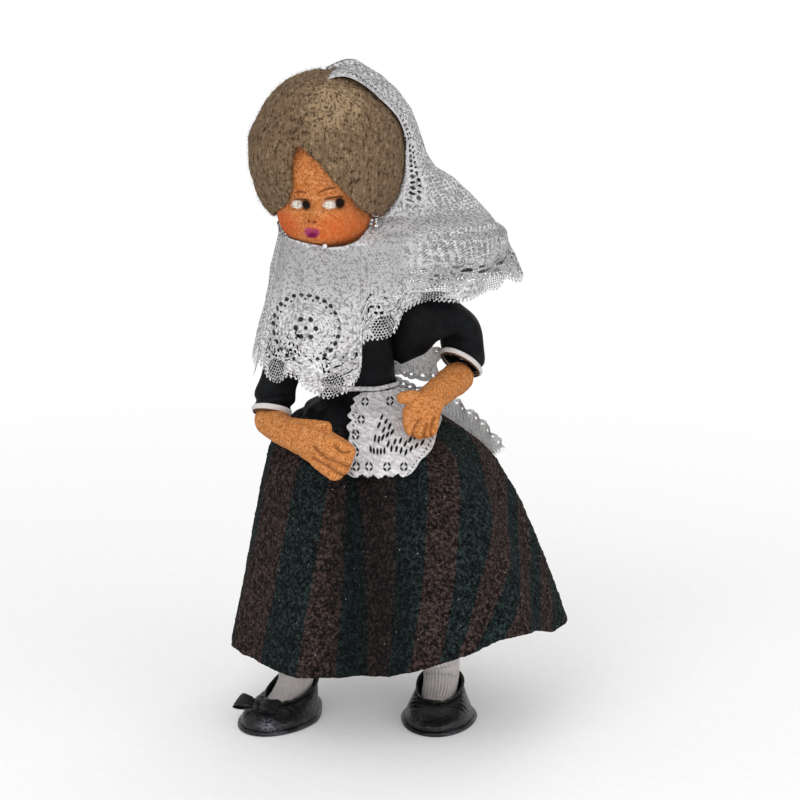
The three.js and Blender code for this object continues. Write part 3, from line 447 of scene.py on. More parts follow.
class Board:
    """Short ways to lay nodes on the tree of a material or a group."""

    def __init__(self, tree):
        self.tree = tree

    def feed(self, slot, value):
        if isinstance(value, Wire):
            self.tree.links.new(value.socket, slot)
        elif slot.type == "RGBA":
            slot.default_value = (*value, 1)
        else:
            slot.default_value = value

    def fill(self, node, sockets):
        """Feeds sockets by their names, with low lines for spaces."""
        for key, value in sockets.items():
            self.feed(node.inputs[key.replace("_", " ")], value)

    def node(self, kind, output=0, settings=None, **inputs):
        node = self.tree.nodes.new("ShaderNode" + kind)
        for key, value in (settings or {}).items():
            setattr(node, key, value)
        self.fill(node, inputs)
        return Wire(self, node.outputs[output])

    def mark(self, name):
        """A value stored on the piece's points."""
        return self.node("Attribute", output="Fac", settings={"attribute_name": name})

    def marks(self, *names):
        return [self.mark(name) for name in names]

    def rest(self):
        """The place in millimetres that the point had at rest."""
        return self.node("Attribute", output="Vector", settings={"attribute_name": "rest"})

    def vector(self, x, y, z=0.0):
        return self.node("CombineXYZ", X=x, Y=y, Z=z)

    def stretched(self, vector, scale):
        node = self.tree.nodes.new("ShaderNodeVectorMath")
        node.operation = "MULTIPLY"
        self.feed(node.inputs[0], vector)
        node.inputs[1].default_value = scale
        return Wire(self, node.outputs[0])

    def noise(self, vector, size, detail=2.0, rough=0.5):
        """Soft random values about 0.5, of patches about that many millimetres."""
        scale = size.math("POWER", -1.0) if isinstance(size, Wire) else 1 / size
        return self.node("TexNoise", Vector=vector, Scale=scale, Detail=detail, Roughness=rough)

    def cells(self, vector, size, feature="F1"):
        """Distance from the middles or the edges of cells that many millimetres wide."""
        return self.node("TexVoronoi", "Distance", {"feature": feature}, Vector=vector, Scale=1 / size)

    def ramp(self, value, low, high, to_low=0.0, to_high=1.0):
        """Goes softly from one value to another between two limits."""
        node = self.tree.nodes.new("ShaderNodeMapRange")
        node.interpolation_type = "SMOOTHSTEP"
        for slot, given in zip(node.inputs, (value, low, high, to_low, to_high)):
            self.feed(slot, given)
        return Wire(self, node.outputs[0])

    def blend(self, amount, first, second):
        """A colour between two; the Mix node keeps its colours in sockets 6 and 7."""
        node = self.tree.nodes.new("ShaderNodeMix")
        node.data_type = "RGBA"
        for slot, value in ((0, amount), (6, first), (7, second)):
            self.feed(node.inputs[slot], value)
        return Wire(self, node.outputs[2])

    def relief(self, height, depth, strength=1.0):
        """Bumps that stand depth millimetres high."""
        return self.node("Bump", Height=height, Distance=depth * MM, Strength=strength)

    def group(self, tree, output, **inputs):
        node = self.tree.nodes.new("ShaderNodeGroup")
        node.node_tree = tree
        self.fill(node, inputs)
        if isinstance(output, str):
            return Wire(self, node.outputs[output])
        return [Wire(self, node.outputs[name]) for name in output]


def finish_named(name):
    """A new material, its board and its Principled node."""
    material = bpy.data.materials.new(name)
    material.use_nodes = True
    shader = material.node_tree.nodes["Principled BSDF"]
    return material, Board(material.node_tree), shader


def paint(board, shader, **sockets):
    board.fill(shader, sockets)


def shared_group(name, inputs, lay):
    """A node group, laid once; lay takes the board and the inputs and gives the outputs by name."""
    if name in bpy.data.node_groups:
        return bpy.data.node_groups[name]
    tree = bpy.data.node_groups.new(name, "ShaderNodeTree")
    for label, kind, value in inputs:
        socket = tree.interface.new_socket(label, in_out="INPUT", socket_type="NodeSocket" + kind)
        if value is not None:
            socket.default_value = value
    board = Board(tree)
    given = tree.nodes.new("NodeGroupInput")
    laid = lay(board, *(Wire(board, given.outputs[row[0]]) for row in inputs))
    for label in laid:
        tree.interface.new_socket(label, in_out="OUTPUT", socket_type="NodeSocketFloat")
    board.fill(tree.nodes.new("NodeGroupOutput"), laid)
    return tree


def fibre_group():
    """Felted fibres: short crossing hairs and soft clumps."""
    def lay(board, place, hair, clump):
        one = board.noise(board.stretched(place, (1, 0.28, 0.6)), hair, 3.0, 0.6)
        two = board.noise(board.stretched(place, (0.3, 1, 0.4)), hair, 3.0, 0.6)
        three = board.noise(board.stretched(place, (0.6, 0.4, 1.3)), hair, 3.0, 0.6)
        fibre = (one + two + three) / 3.0
        clumps = board.noise(place, clump, 3.0, 0.55)
        return {"Fibre": board.ramp(fibre, 0.38, 0.62), "Clumps": board.ramp(clumps, 0.3, 0.7),
                "Height": fibre * 0.7 + clumps * 0.3}
    return shared_group(
        "Felted fibres", [("Place", "Vector", None), ("Hair", "Float", 0.35), ("Clump", "Float", 2.4)], lay)


# Height of a six-sided cell whose width is 1
CELL_RISE = 0.8660254


def net_group():
    """Six-sided net: how near a point is to the thread, 0 in the middle of a hole and 1 on the thread."""
    def lay(board, across, up, cell, thread):
        def reach(u, v):
            u, v = u.math("ABSOLUTE"), v.math("ABSOLUTE")
            return u.high(u * 0.5 + v * CELL_RISE)
        x, y = across / cell, up / cell
        here = reach(x.wrap(0.5), y.wrap(CELL_RISE))
        next_row = reach((x - 0.5).wrap(0.5), (y - CELL_RISE).wrap(CELL_RISE))
        distance = here.low(next_row)
        edge = 0.5 - thread
        return {"Mask": board.ramp(distance, edge - 0.05, edge + 0.05),
                "Height": board.ramp(distance, edge - 0.1, 0.5)}
    return shared_group("Lace net", [("Across", "Float", 0), ("Up", "Float", 0), ("Cell", "Float", 1.9),
                                     ("Thread", "Float", 0.2)], lay)


def yarn_group():
    """Looped or knitted yarn: columns of slanting loops; Shade is low in the hollows between them, where the
    cuffs and stockings paint shade.
    """
    def lay(board, across, along, width, loop):
        side = (across / width).wrap(0.5).math("ABSOLUTE")
        slant = along / loop + side * 1.4
        near = slant.wrap(0.5).math("ABSOLUTE")
        height = (0.5 - near) * 2.0 * (1.0 - side * 1.6).high(0.0)
        return {"Height": height, "Shade": board.ramp(height, 0.0, 0.55)}
    return shared_group("Yarn loops", [("Across", "Float", 0), ("Along", "Float", 0), ("Width", "Float", 1.0),
                                       ("Loop", "Float", 1.0)], lay)


def wear_group():
    """Years of handling: pale lint and dull rubbed patches."""
    def lay(board, place, lint, rub):
        specks = 1.0 - board.ramp(board.cells(place, 2.6), 0.04, 0.1)
        thin = board.noise(place, 6.0, 2.0)
        worn = board.noise(place, 9.0, 4.0, 0.6)
        return {"Lint": specks * board.ramp(thin, 0.5, 0.62) * lint, "Rub": board.ramp(worn, 0.45, 0.7) * rub}
    return shared_group(
        "Handling", [("Place", "Vector", None), ("Lint", "Float", 0.5), ("Rub", "Float", 0.5)], lay)


# ---------------------------------------------------------------- finishes

def felt_finish(name, colour, hair, bump=0.14):
    """Pressed felt: mottled, with short fibres and clumps."""
    material, board, shader = finish_named(name)
    place = board.rest()
    fibre, clumps, height = board.group(fibre_group(), ("Fibre", "Clumps", "Height"), Place=place, Hair=hair)
    dark = dimmed(colour, 0.60, 0.44, 0.30)
    pale = tuple(min(1, c * k) for c, k in zip(colour, (1.35, 1.5, 2.1)))
    grain = board.noise(place, 1.5, 2.0, 0.75)
    tint = board.blend(board.ramp(fibre * 0.45 + grain * 0.75, 0.42, 0.80), dark, pale)
    shade = board.blend(clumps * 0.5, tint, dimmed(colour, 1.08, 0.86, 0.62))
    paint(board, shader, Base_Color=shade, Roughness=0.95, Normal=board.relief(height, bump * 4),
          Specular_IOR_Level=0.15)
    return material, board, shader, shade


def lace_base(board, shader, colour, holes, height, grey, pit_shade=0.3, shadow=0.0):
    """Cotton thread: where the holes mask is 1 there is no cloth. The grey mask darkens the thread, mostly as
    painted shade, and the shadow mask paints it near black; small pits are painted dark as pin holes with shade
    and dark cloth behind them.
    """
    place = board.rest()
    fibre = board.noise(place, 0.35, 3.0)
    # Small pits painted dark: pin holes with shade and dark cloth behind them
    pits = 1.0 - board.ramp(board.noise(place, 1.15, 1.0, 0.6), 0.34, 0.52)
    tone = board.blend(grey, colour, dimmed(colour, 0.42))
    tone = board.blend(board.ramp(fibre, 0.3, 0.75) * 0.3, tone, dimmed(colour, 0.72))
    tone = board.blend(pits * pit_shade, tone, dimmed(colour, 0.26, 0.25, 0.25))
    tone = board.blend(shadow, tone, (0.012, 0.010, 0.010))
    paint(board, shader, Base_Color=tone, Roughness=0.9, Alpha=1.0 - holes, Normal=board.relief(height, 0.35))


def length_of(u, v):
    return (u * u + v * v).math("SQRT")


def ring_of_eyelets(board, x, y, radius, count, across, along):
    """Eyelets set on a ring: 1 inside each hole; across and along are its half sizes."""
    turn = y.math("ARCTAN2", x) * (count / (2 * math.pi))
    side = turn.wrap(0.5) * (2 * math.pi * radius / count)
    near = length_of(side / across, (length_of(x, y) - radius) / along)
    return 1.0 - board.ramp(near, 0.82, 1.08)


def row_of_eyelets(board, x, y, level, spacing, across, high):
    """Eyelets in a straight row at a level."""
    near = length_of(x.wrap(spacing / 2) / across, (y - level) / high)
    return 1.0 - board.ramp(near, 0.82, 1.08)


def inside(board, x, y, radius, soft=0.3):
    return 1.0 - board.ramp(length_of(x, y), radius - soft, radius + soft)


# Fans of the mantilla's edge: height of their middles, radius of the net in them and of their rims
FAN_RISE = 4.6
FAN_R = 4.9
FAN_RIM_R = 6.0


def mantilla_finish(sizes, colours):
    """Bobbin lace: fans and medallions at the edge, close cloth over the chest and open net above."""
    material, board, shader = finish_named("mantilla_lace")
    along, up, fan_along = board.marks("edge_along", "edge_up", "fan_along")
    flower, rise, open_part = board.marks("flower_across", "flower_up", "open_part")
    band, band_along, level = board.marks("hair_border", "border_along", "border_high")
    place = board.rest()
    wander = board.noise(place, 5.0) - 0.5
    jitter = board.noise(place, 1.1) - 0.5
    fray = board.noise(place, 0.5, 2.0, 0.7) - 0.5
    patch = board.noise(place, 9.0, 2.0)
    across = board.mark("net_across") + wander * 1.6 + jitter * 1.5
    high = board.mark("net_up") + wander * 1.2 + jitter * 1.3
    net, net_height = board.group(net_group(), ("Mask", "Height"), Across=across, Up=high,
                                  Cell=sizes.net_cell / MM, Thread=0.2)
    fine, fine_height = board.group(net_group(), ("Mask", "Height"), Across=along + jitter * 0.3,
                                    Up=up + jitter * 0.3, Cell=1.22, Thread=0.17)
    # Fans on the edge, and rows of eyelets above and between them
    fan_up = up - FAN_RISE
    fan = inside(board, fan_along + fray, fan_up + fray, FAN_R)
    fan_rim = inside(board, fan_along, fan_up, FAN_RIM_R) - fan
    rows = row_of_eyelets(board, along, up, 10.6, 2.0, 0.72, 0.62)
    rows = rows.high(row_of_eyelets(board, along + 0.9, up, 12.8, 2.0, 0.5, 0.8))
    rows = rows.high(row_of_eyelets(board, along + 0.4, up, 1.5, 1.7, 0.45, 0.5) * (1.0 - fan))
    broken = board.ramp(board.noise(board.vector(along / 6.0, 0.3, 0.1), 1.0, 1.0), 0.42, 0.5)
    rows = rows * broken.high(1.0 - board.ramp(up, 2.0, 4.0))
    # A flower of six petals with a garland of small eyelets round it
    petals = ring_of_eyelets(board, flower + fray * 0.8, rise + fray * 0.8, 3.7, 6, 1.05, 1.0)
    heart = inside(board, flower + fray * 0.5, rise + fray * 0.5, 0.75, 0.15)
    garland = ring_of_eyelets(board, flower + fray, rise + fray, 12.4, 26, 0.95, 0.8)
    garland = garland.high(ring_of_eyelets(board, flower + fray, rise + fray, 10.9, 24, 0.5, 0.42))
    garland = garland * board.ramp(board.noise(board.vector(flower, rise, 0.0), 5.0, 1.0), 0.36, 0.44)
    # Sprays of narrow gaps between curved stems
    bend = (flower * 0.55 + (rise * rise) * 0.03 + wander * 5.0)
    stems = (bend * 3.1).math("SINE")
    sprays = board.ramp(stems, 0.55, 0.8) * board.ramp(board.noise(place, 2.2, 2.0), 0.50, 0.58)
    sprays = sprays * board.ramp(up, 5.0, 7.0) * (1.0 - board.ramp(up, 17.0, 23.0))
    # The band that frames the hair, with its ladder of gaps painted near black as shade
    band_up = band + fray * 0.6
    ladder = row_of_eyelets(board, band_along + fray, band_up, 3.4, 1.9, 0.55, 0.8)
    ladder = ladder.high(row_of_eyelets(board, band_along + 0.8, band_up, 5.0, 1.9, 0.5, 0.55))
    ladder = ladder * board.ramp(fray + wander, -0.5, -0.1)
    plain = 1.0 - board.ramp(band, 5.6, 8.5)
    # The close cloth is pierced by pin holes, more in some patches than others
    pin_size = board.ramp(patch + jitter * 0.4, 0.35, 0.65, 0.14, 0.30)
    pins = 1.0 - board.ramp(board.cells(place, 0.95), pin_size - 0.06, pin_size + 0.06)
    veil = (1.0 - net) * open_part * (1.0 - plain)
    close = (1.0 - open_part) * (1.0 - fan_rim * 0.6)
    # The worked cloth swirls in ribs round the flower
    swirl = (flower * flower + rise * rise * 1.3).math("SQRT") + wander * 3.0 + fray * 0.5
    ribs = (swirl * 4.6).math("SINE") * 0.5 + 0.5
    speck = board.noise(place, 1.5, 2.0, 0.75)
    dark_speck = 1.0 - board.ramp(speck, 0.40, 0.56)
    dark_speck = dark_speck * board.ramp(patch + wander * 0.3, 0.30, 0.62, 1.0, 0.45)
    # Painted near black instead of cut open: the petals, heart and garland show the black dress behind them,
    # and the band's ladder is painted shade over the hair
    shadow = petals.high(heart).high(garland) * close * (1.0 - board.ramp(up, 0.0, 1.0, 1.0, 0.0))
    holes = ((1.0 - fine) * fan).high(rows).high(sprays * close)
    pins = pins * close * board.ramp(ribs, 0.3, 0.8, 0.9, 0.15)
    holes = holes.high(pins * (1.0 - fan) * (1.0 - plain * 0.8))
    holes = holes.high(veil * board.ramp(fray, -0.12, 0.12, 0.25, 0.85))
    shadow = shadow.high(ladder * board.ramp(level, 196.0, 206.0))
    # Close to the worked edge the stitches leave many small gaps
    gaps = 1.0 - board.ramp(board.noise(place, 1.05, 1.0, 0.4), 0.30, 0.36)
    holes = holes.high(gaps * (1.0 - board.ramp(up, 8.0, 19.0)) * board.ramp(up, 0.4, 1.2) * (1.0 - fan))
    holes = holes.high(1.0 - board.ramp(band, -0.05, 0.12))
    picots = 0.55 + (along * (2 * math.pi / 1.9)).math("SINE") * 0.5 + fray * 0.5
    holes = holes.high(1.0 - board.ramp(up - picots, -0.08, 0.08))
    height = net_height * open_part + fine_height * fan + fan_rim + ribs * close * 0.6
    height = height + jitter * 0.5 + fray * 0.5
    shaded = board.ramp(ribs, 0.15, 0.75, 0.75, 0.0) * close * board.ramp(patch, 0.3, 0.6, 1.0, 0.45)
    # Painted shade on the close cloth, greyer up towards the chin
    shade_under_chin = board.ramp(level, 156.0, 180.0, 0.0, 0.95) * (1.0 - open_part)
    shade_under_chin = shade_under_chin * (1.0 - board.ramp(band, 5.0, 9.0, 1.0, 0.0) * 0.6)
    shade_under_chin = shade_under_chin * board.ramp(fine, 0.0, 0.6, 0.7, 1.0)
    # Grey: painted shade in the troughs of the ribs, over the open net's holes and under the chin, with random
    # dark specks
    grey = (shaded.high(dark_speck) * (1.0 - plain * 0.55)).high(veil * 0.9).high(shade_under_chin)
    lace_base(board, shader, colours.lace, holes, height, grey, 0.8, shadow)
    return material


# ---------------------------------------------------------------- the mantilla

DRAPE = (-27.5, -3.0)
COLLAR_REACH = [22, 24.5, 33, 66, 68, 48, 33, 27, 21, 17.2, 18.5, 21]
HOOD_ROOM = 1.6
# Half-angles of the hood's open front: height, left, right, and how far forward the borders meet
HOOD_OPENING = [
    (188.9, 0, 0, 0), (189.7, 20, 5, 0), (190.8, 28, 26, 0), (191.8, 36, 64, 0), (192.8, 46, 118, 0),
    (194, 56, 122, 0), (197.5, 76, 124, 0), (201, 80, 124, 0), (206, 82, 122, 0), (213, 82, 120, 0),
    (224, 81, 118, 0), (234, 80, 118, 3), (243, 82, 118, 9), (260, 84, 118, 13),
]
# Reach of the wing on the doll's left: height, reach
WING = [
    (188, 68), (190.5, 67), (196, 62.5), (201.5, 58), (209.5, 50), (212, 46), (214, 42.5), (220, 38.6),
    (226.5, 36.4), (232, 34.6), (237, 32.4), (243.6, 27.8), (249, 21.6), (253, 13.5), (257, 5),
]
# Reach of the lower edge round the drape: direction from the front, reach
EDGE_REACH = [
    (0, 21.5), (14, 23), (30, 25), (45, 27.5), (62, 31), (80, 40), (90, 54), (100, 75), (110, 80), (130, 60),
    (150, 45), (180, 36), (210, 33), (240, 31), (264, 29), (281, 28.4), (299, 28.4), (316, 28),
    (338, 25), (350, 22), (360, 21.5), (374, 23), (392, 25),
]
# Height of the lower edge: from under the right front round the back to the left front
EDGE_HEIGHT = [
    (5, 147), (20, 147.5), (28, 149.4), (35, 153), (41, 153.4), (47, 153.2), (53, 153.6), (58, 155.4),
    (61, 158), (63.5, 162.4), (71, 165.2), (79.3, 165.8), (85.7, 164.2), (90.2, 165), (93.3, 167.2),
    (96.1, 167.2), (97.6, 171), (99.4, 169), (104, 167.6), (107.5, 167.4), (112, 169.4), (118, 166.8),
    (130, 164), (150, 157), (165, 152.5), (180, 151), (210, 147), (240, 144.4), (264, 141.6),
    (276, 139.6), (283.5, 136.8), (289, 138.4), (295, 142.6), (300, 141.6), (304.5, 138.8), (311, 137.2),
    (317.5, 136.9), (323, 138), (328, 140.2), (333, 139.2), (338, 136.2), (343, 134.6), (348, 133.4),
    (354, 132), (360, 131.4), (366, 131.7), (372, 132.8), (378, 133.6), (384, 136.6), (388, 139.4),
    (391, 144.5),
]
# Directions of the fans that the photograph shows
FANS = [50, 78, 94, 108, 316, 366]
# Flower of the lace pattern: direction and height on the drape, and its place seen from the front
FLOWER = (342.0, 157.6)
FRONT_FLOWER = (-35.0, 158.6)
# From this direction on the lace lies over the chest
FRONT_FROM = 296
# Below this height the lace has no opening, so its border is taken to be far off
OPENING_FROM = 188.1
FAR_OFF = 30
# Directions where the lace starts under the right front and ends over it
UNDER_EDGE = 5.0
FRONT_EDGE = 391.0


def drape_points(angle, reach, z):
    a = np.radians(angle)
    return np.stack([DRAPE[0] + np.sin(a) * reach, DRAPE[1] - np.cos(a) * reach, z + 0 * a], -1)


def hair_reach(z):
    """Reach of the wig at a height, fuller below its middle than above."""
    rise = np.asarray(z, float) - HAIR_CENTRE[2]
    rise = rise / np.where(rise < 0, HAIR_LOW, HAIR_HALF[2])
    power = np.where(rise < 0, 3.0, 2.0)
    return HAIR_HALF[0] * np.maximum(0, 1 - np.abs(rise) ** power) ** (1 / power)


def hood_reach(angle, z, base):
    """Reach of the hood: close to the hair at its border, and out to the wing behind it."""
    flare = smooth((214 - z) / 24)
    collar = loop_value(COLLAR_REACH, angle / 360)
    share = mix(hump(angle, 102, 44), np.clip((collar - 22) / 45, 0, 1), flare)
    reach = base + share * np.maximum(table_value(WING, z) - base, 0)
    jaw = mix(mix(22, 19.0, smooth((angle - 25) / 28)), 21.4, smooth((z - 197) / 6))
    border = np.maximum(np.minimum(base, hair_reach(z) + 0.9), jaw * smooth((234 - z) / 12))
    behind = smooth((angle - table_value(HOOD_OPENING, z)) / 24)
    close = (1 - behind) * smooth((z - 189.5) / 3) * (angle < 180)
    return mix(reach, border, close)


def past_border(grid):
    """Millimetres from the border of the hood's open front: above 0 in the lace, below 0 in the opening."""
    z = grid[..., 2]
    left, right, forward = (table_value(HOOD_OPENING, z, k) for k in (1, 2, 3))
    x, y = grid[..., 0] - DRAPE[0], grid[..., 1] - (DRAPE[1] - forward)
    facing = np.degrees(np.arctan2(x, -y))
    reach = np.hypot(x, y)
    past_left = reach * np.sin(np.radians(np.clip(facing - left, -90, 90)))
    past_right = reach * np.sin(np.radians(np.clip(-right - facing, -90, 90)))
    # Over the crown the border crosses the parting and runs down behind the top of the hair
    behind = (grid[..., 1] - DRAPE[1]) * 0.97 - (z - HAIR_CENTRE[2]) * 0.242
    behind = behind + np.clip((grid[..., 0] + 37.2) * 1.8, -10.5, 20)
    crown = np.minimum(reach * np.sin(np.radians(np.maximum(facing - left, -172))), behind)
    return mix(np.maximum(past_left, past_right), crown, smooth((z - 214) / 26))


def along_border(grid, past):
    """Place of each point along the nearest part of the hood's border."""
    rising, falling = [], []
    for row, line in zip(past, grid):
        turns = np.nonzero(np.sign(row[1:]) != np.sign(row[:-1]))[0]
        for chain, found in ((rising, turns[:1]), (falling, turns[-1:])):
            for i in found:
                t = row[i] / (row[i] - row[i + 1])
                chain.append(mix(line[i], line[i + 1], t))
    chain = np.array(rising[::-1] + falling)
    length = lengths_along(chain)
    flat = grid.reshape(-1, 3)
    nearest = np.empty(len(flat), int)
    for start in range(0, len(flat), 20000):
        part = flat[start:start + 20000]
        nearest[start:start + 20000] = (np.sum(part ** 2, 1)[:, None] - 2 * part @ chain.T
                                        + np.sum(chain ** 2, 1)[None]).argmin(1)
    return length[nearest].reshape(past.shape)


class BuildMantilla(bpy.types.Operator):
    """Lace mantilla that frames the hair, crosses the chest and spreads to the doll's left"""

    bl_idname = "doll.build_mantilla"
    bl_label = "Mantilla"

    def execute(self, context):
        sizes, colours = context.scene.doll_sizes, context.scene.doll_colours
        u = np.linspace(0, 1, 560)
        rows = [*self.crown_rows(u), *self.hood_rows(u), *self.cape_rows(u, sizes)]
        angle = np.array([row[0] for row in rows])
        grid = np.array([row[1] for row in rows])
        z = grid[..., 2]
        past = past_border(grid)
        grid = self.folded(grid, angle)
        past = np.where(z > OPENING_FROM, past, FAR_OFF)
        marks = self.marks(grid, angle, z, past, sizes)
        faces = np.array(sheet_faces(*angle.shape))
        # Faces well inside the opening are left out; the finish cuts the border itself
        faces = faces[(past.ravel()[faces] > -1.2).any(1)]
        used, faces = np.unique(faces, return_inverse=True)
        marks = {key: values.ravel()[used] for key, values in marks.items()}
        piece = new_piece("mantilla", grid.reshape(-1, 3)[used], faces.reshape(-1, 4).tolist(),
                          mantilla_finish(sizes, colours), marks)
        across_joint(piece, ("torso", "head"), (*DRAPE, HEAD_PLANE - 7), (*DRAPE, HEAD_PLANE + 5),
                     "mantilla_lace", "mantilla_hood", "mantilla_cape")
        return {"FINISHED"}

    def crown_rows(self, u):
        """Rows over the top of the hair, as directions and points."""
        for up in np.radians(np.linspace(89, 0.5, 50)):
            z = HAIR_CENTRE[2] + math.sin(up) * (HAIR_HALF[2] + HOOD_ROOM)
            angle = mix(0, 360, u)
            reach = hood_reach(angle, z, math.cos(up) * (HAIR_HALF[0] + HOOD_ROOM))
            across = np.sin(np.radians(angle)) * reach
            lift = 1.6 * hump(across, 9, 9) - 0.9 * smooth(-across / 8 - 0.3)
            yield angle, drape_points(angle, reach, z + lift * smooth((z - 238) / 8))

    def hood_rows(self, u):
        """Rows beside and behind the head, down to the plane where it turns."""
        for z in np.linspace(223, HEAD_PLANE, 56)[:-1]:
            whole = float(smooth((z - HEAD_PLANE) / 4))
            angle = mix(mix(UNDER_EDGE, 0, whole), mix(FRONT_EDGE, 360, whole), u)
            collar = loop_value(COLLAR_REACH, angle / 360)
            over = hair_reach(max(z, 197.5)) + HOOD_ROOM
            base = mix(np.minimum(22, collar), over, smooth((z - 190) / 9))
            reach = mix(collar, hood_reach(angle, z, base), smooth((z - HEAD_PLANE) / 3))
            yield angle, drape_points(angle, reach, z)

    def cape_rows(self, u, sizes):
        """Rows from the neck down to the scalloped edge."""
        angle = mix(UNDER_EDGE, FRONT_EDGE, u)
        around = smooth((angle - 118) / 12) * smooth((276 - angle) / 12)
        scallops = np.abs(np.sin(angle / 360 * math.pi * 12)) ** 0.6 - 0.5
        low = table_value(EDGE_HEIGHT, angle) - around * sizes.scallop_depth / MM * scallops
        for v in np.linspace(1, 0, 90):
            z = mix(low, HEAD_PLANE, v ** 0.92)
            reach = mix(table_value(EDGE_REACH, angle), loop_value(COLLAR_REACH, angle / 360), v ** 0.92)
            yield angle, drape_points(angle, reach, z)

    def folded(self, grid, angle):
        """Soft folds, deepest near the shoulders and edge, and a lap over the right front."""
        z = grid[..., 2]
        turn = np.radians(angle)
        outward = np.stack([np.sin(turn), -np.cos(turn), 0 * angle], -1)
        hang = smooth((206 - z) / 40)
        wave = (np.sin(turn * 11 + z * 0.06) * 0.8 + np.sin(turn * 19 - z * 0.09) * 0.45
                + 0.9 * lumps(grid, 13.0, 3.1) + 0.35 * lumps(grid, 4.5, 8.2))
        spread = smooth((angle - 60) / 25) * smooth((150 - angle) / 25)
        fold = hang * wave * mix(0.75, 1.35, spread)
        lap = 0.4 * smooth((angle - 366) / 14) * smooth((193 - z) / 5)
        tuck = 0.9 * smooth((32 - angle) / 16) * smooth((192 - z) / 5)
        crown = 0.35 * lumps(grid, 7.0, 1.7) * (1 - hang)
        grid = grid + outward * (fold + lap - tuck + crown)[..., None]
        # The lace is pinned down on the hair where its border starts at the parting
        pressed = smooth((z - 238) / 8) * smooth((-19 - grid[..., 0]) / 11)
        grid[..., 2] -= 1.9 * pressed
        return grid

    def marks(self, grid, angle, z, past, sizes):
        """How far each point lies along and above the edge, the flowers, the net and the hood's border."""
        edge = angle[-1]
        along_edge = np.interp(angle, edge, lengths_along(grid[-1]))
        steps = np.linalg.norm(np.diff(grid, axis=0), axis=2)
        top_row = np.zeros((1, grid.shape[1]))
        above = np.concatenate([np.cumsum(steps[::-1], axis=0)[::-1], top_row])
        fan_at = np.interp(FANS, edge, along_edge[-1])
        gap = fan_at[4] - fan_at[3]
        back = np.linspace(fan_at[3], fan_at[4], int(round(gap / (sizes.scallop / MM))) + 1)[1:-1]
        fan_at = np.sort(np.concatenate([fan_at, back]))
        nearest = fan_at[np.abs(along_edge[..., None] - fan_at).argmin(-1)]
        reach = np.linalg.norm(grid[-1, :, :2] - np.array(DRAPE), axis=-1)
        across = np.radians(angle - FLOWER[0]) * np.interp(FLOWER[0], edge, reach)
        period = 2 * sizes.scallop / MM
        flower_across = np.mod(across + period / 2, period) - period / 2
        flower_up = above - np.interp(FLOWER[0], edge, FLOWER[1] - grid[-1, :, 2])
        front = angle > FRONT_FROM
        rings = np.linalg.norm(np.diff(grid, axis=1), axis=2)
        round_row = np.concatenate([np.zeros((len(grid), 1)), np.cumsum(rings, axis=1)], axis=1)
        start = np.array([np.interp(82, degrees, row) for degrees, row in zip(angle, round_row)])
        return {
            "edge_along": along_edge,
            "edge_up": above,
            "fan_along": np.abs(along_edge - nearest),
            "flower_across": np.where(front, grid[..., 0] - FRONT_FLOWER[0], np.abs(flower_across)),
            "flower_up": np.where(front, z - FRONT_FLOWER[1], flower_up),
            "net_across": round_row - start[:, None],
            "net_up": np.concatenate([top_row, np.cumsum(steps, axis=0)]),
            "open_part": smooth((angle - 58) / 14) * smooth((292 - angle) / 20) * smooth((above - 15) / 5),
            "hair_border": past,
            "border_high": z,
            "border_along": along_border(grid, past),
        }


# ---------------------------------------------------------------- the head

# Pressed features of the face: how far each stands out, its place and its half sizes
FEATURES = [
    (1.9, -0.5, -15.2, 1.9, 2.4), (0.6, -0.4, -9, 2.2, 5.0), (1.6, -9.8, -17.8, 6, 5.5),
    (1.6, 9.0, -17.8, 7, 5.5), (2.4, 3.0, -24.5, 10, 3.6), (0.7, -0.9, -20.2, 2.9, 1.3),
    (0.5, -0.9, -22.6, 2.2, 0.9), (-0.9, -5.6, -10.8, 4.4, 2.8),
    (-0.9, 6.9, -10.5, 4.6, 2.8), (-0.45, -0.9, -21.4, 2.8, 0.45),
]
# Paint on the face in the order it goes on: colour, strength, softness, centre, half sizes
FACE_SPOTS = [
    ("blush", 1.0, 0.75, (-12.4, -19.8), (6.0, 5.0)), ("far_blush", 0.85, 0.75, (8.6, -20.6), (9.4, 5.6)),
    ("temple", 0.45, 0.7, (12.5, -14.0), (3.6, 3.6)), ("nose", 0.4, 0.7, (-0.2, -13.0), (1.1, 3.0)),
    ("lip", 1.0, 0.35, (-1.9, -21.0), (1.9, 1.75)), ("far_lip", 1.0, 0.35, (0.5, -21.1), (1.7, 1.6)),
    ("low_lip", 1.0, 0.45, (-0.7, -22.2), (1.9, 0.95)), ("nostril", 0.9, 0.45, (-1.7, -16.7), (0.5, 0.55)),
    ("nostril", 0.9, 0.45, (0.55, -16.9), (0.5, 0.55)), ("lid", 0.55, 0.5, (-5.2, -10.8), (4.2, 2.1)),
    ("lid", 0.55, 0.5, (7.2, -10.4), (4.2, 2.3)), ("white", 1.0, 0.35, (-6.5, -11.0), (2.1, 1.5)),
    ("white", 1.0, 0.35, (5.8, -10.7), (2.3, 1.5)), ("ink", 1.0, 0.35, (-2.9, -10.8), (1.85, 1.85)),
    ("ink", 1.0, 0.35, (9.1, -10.3), (1.7, 2.1)),
]
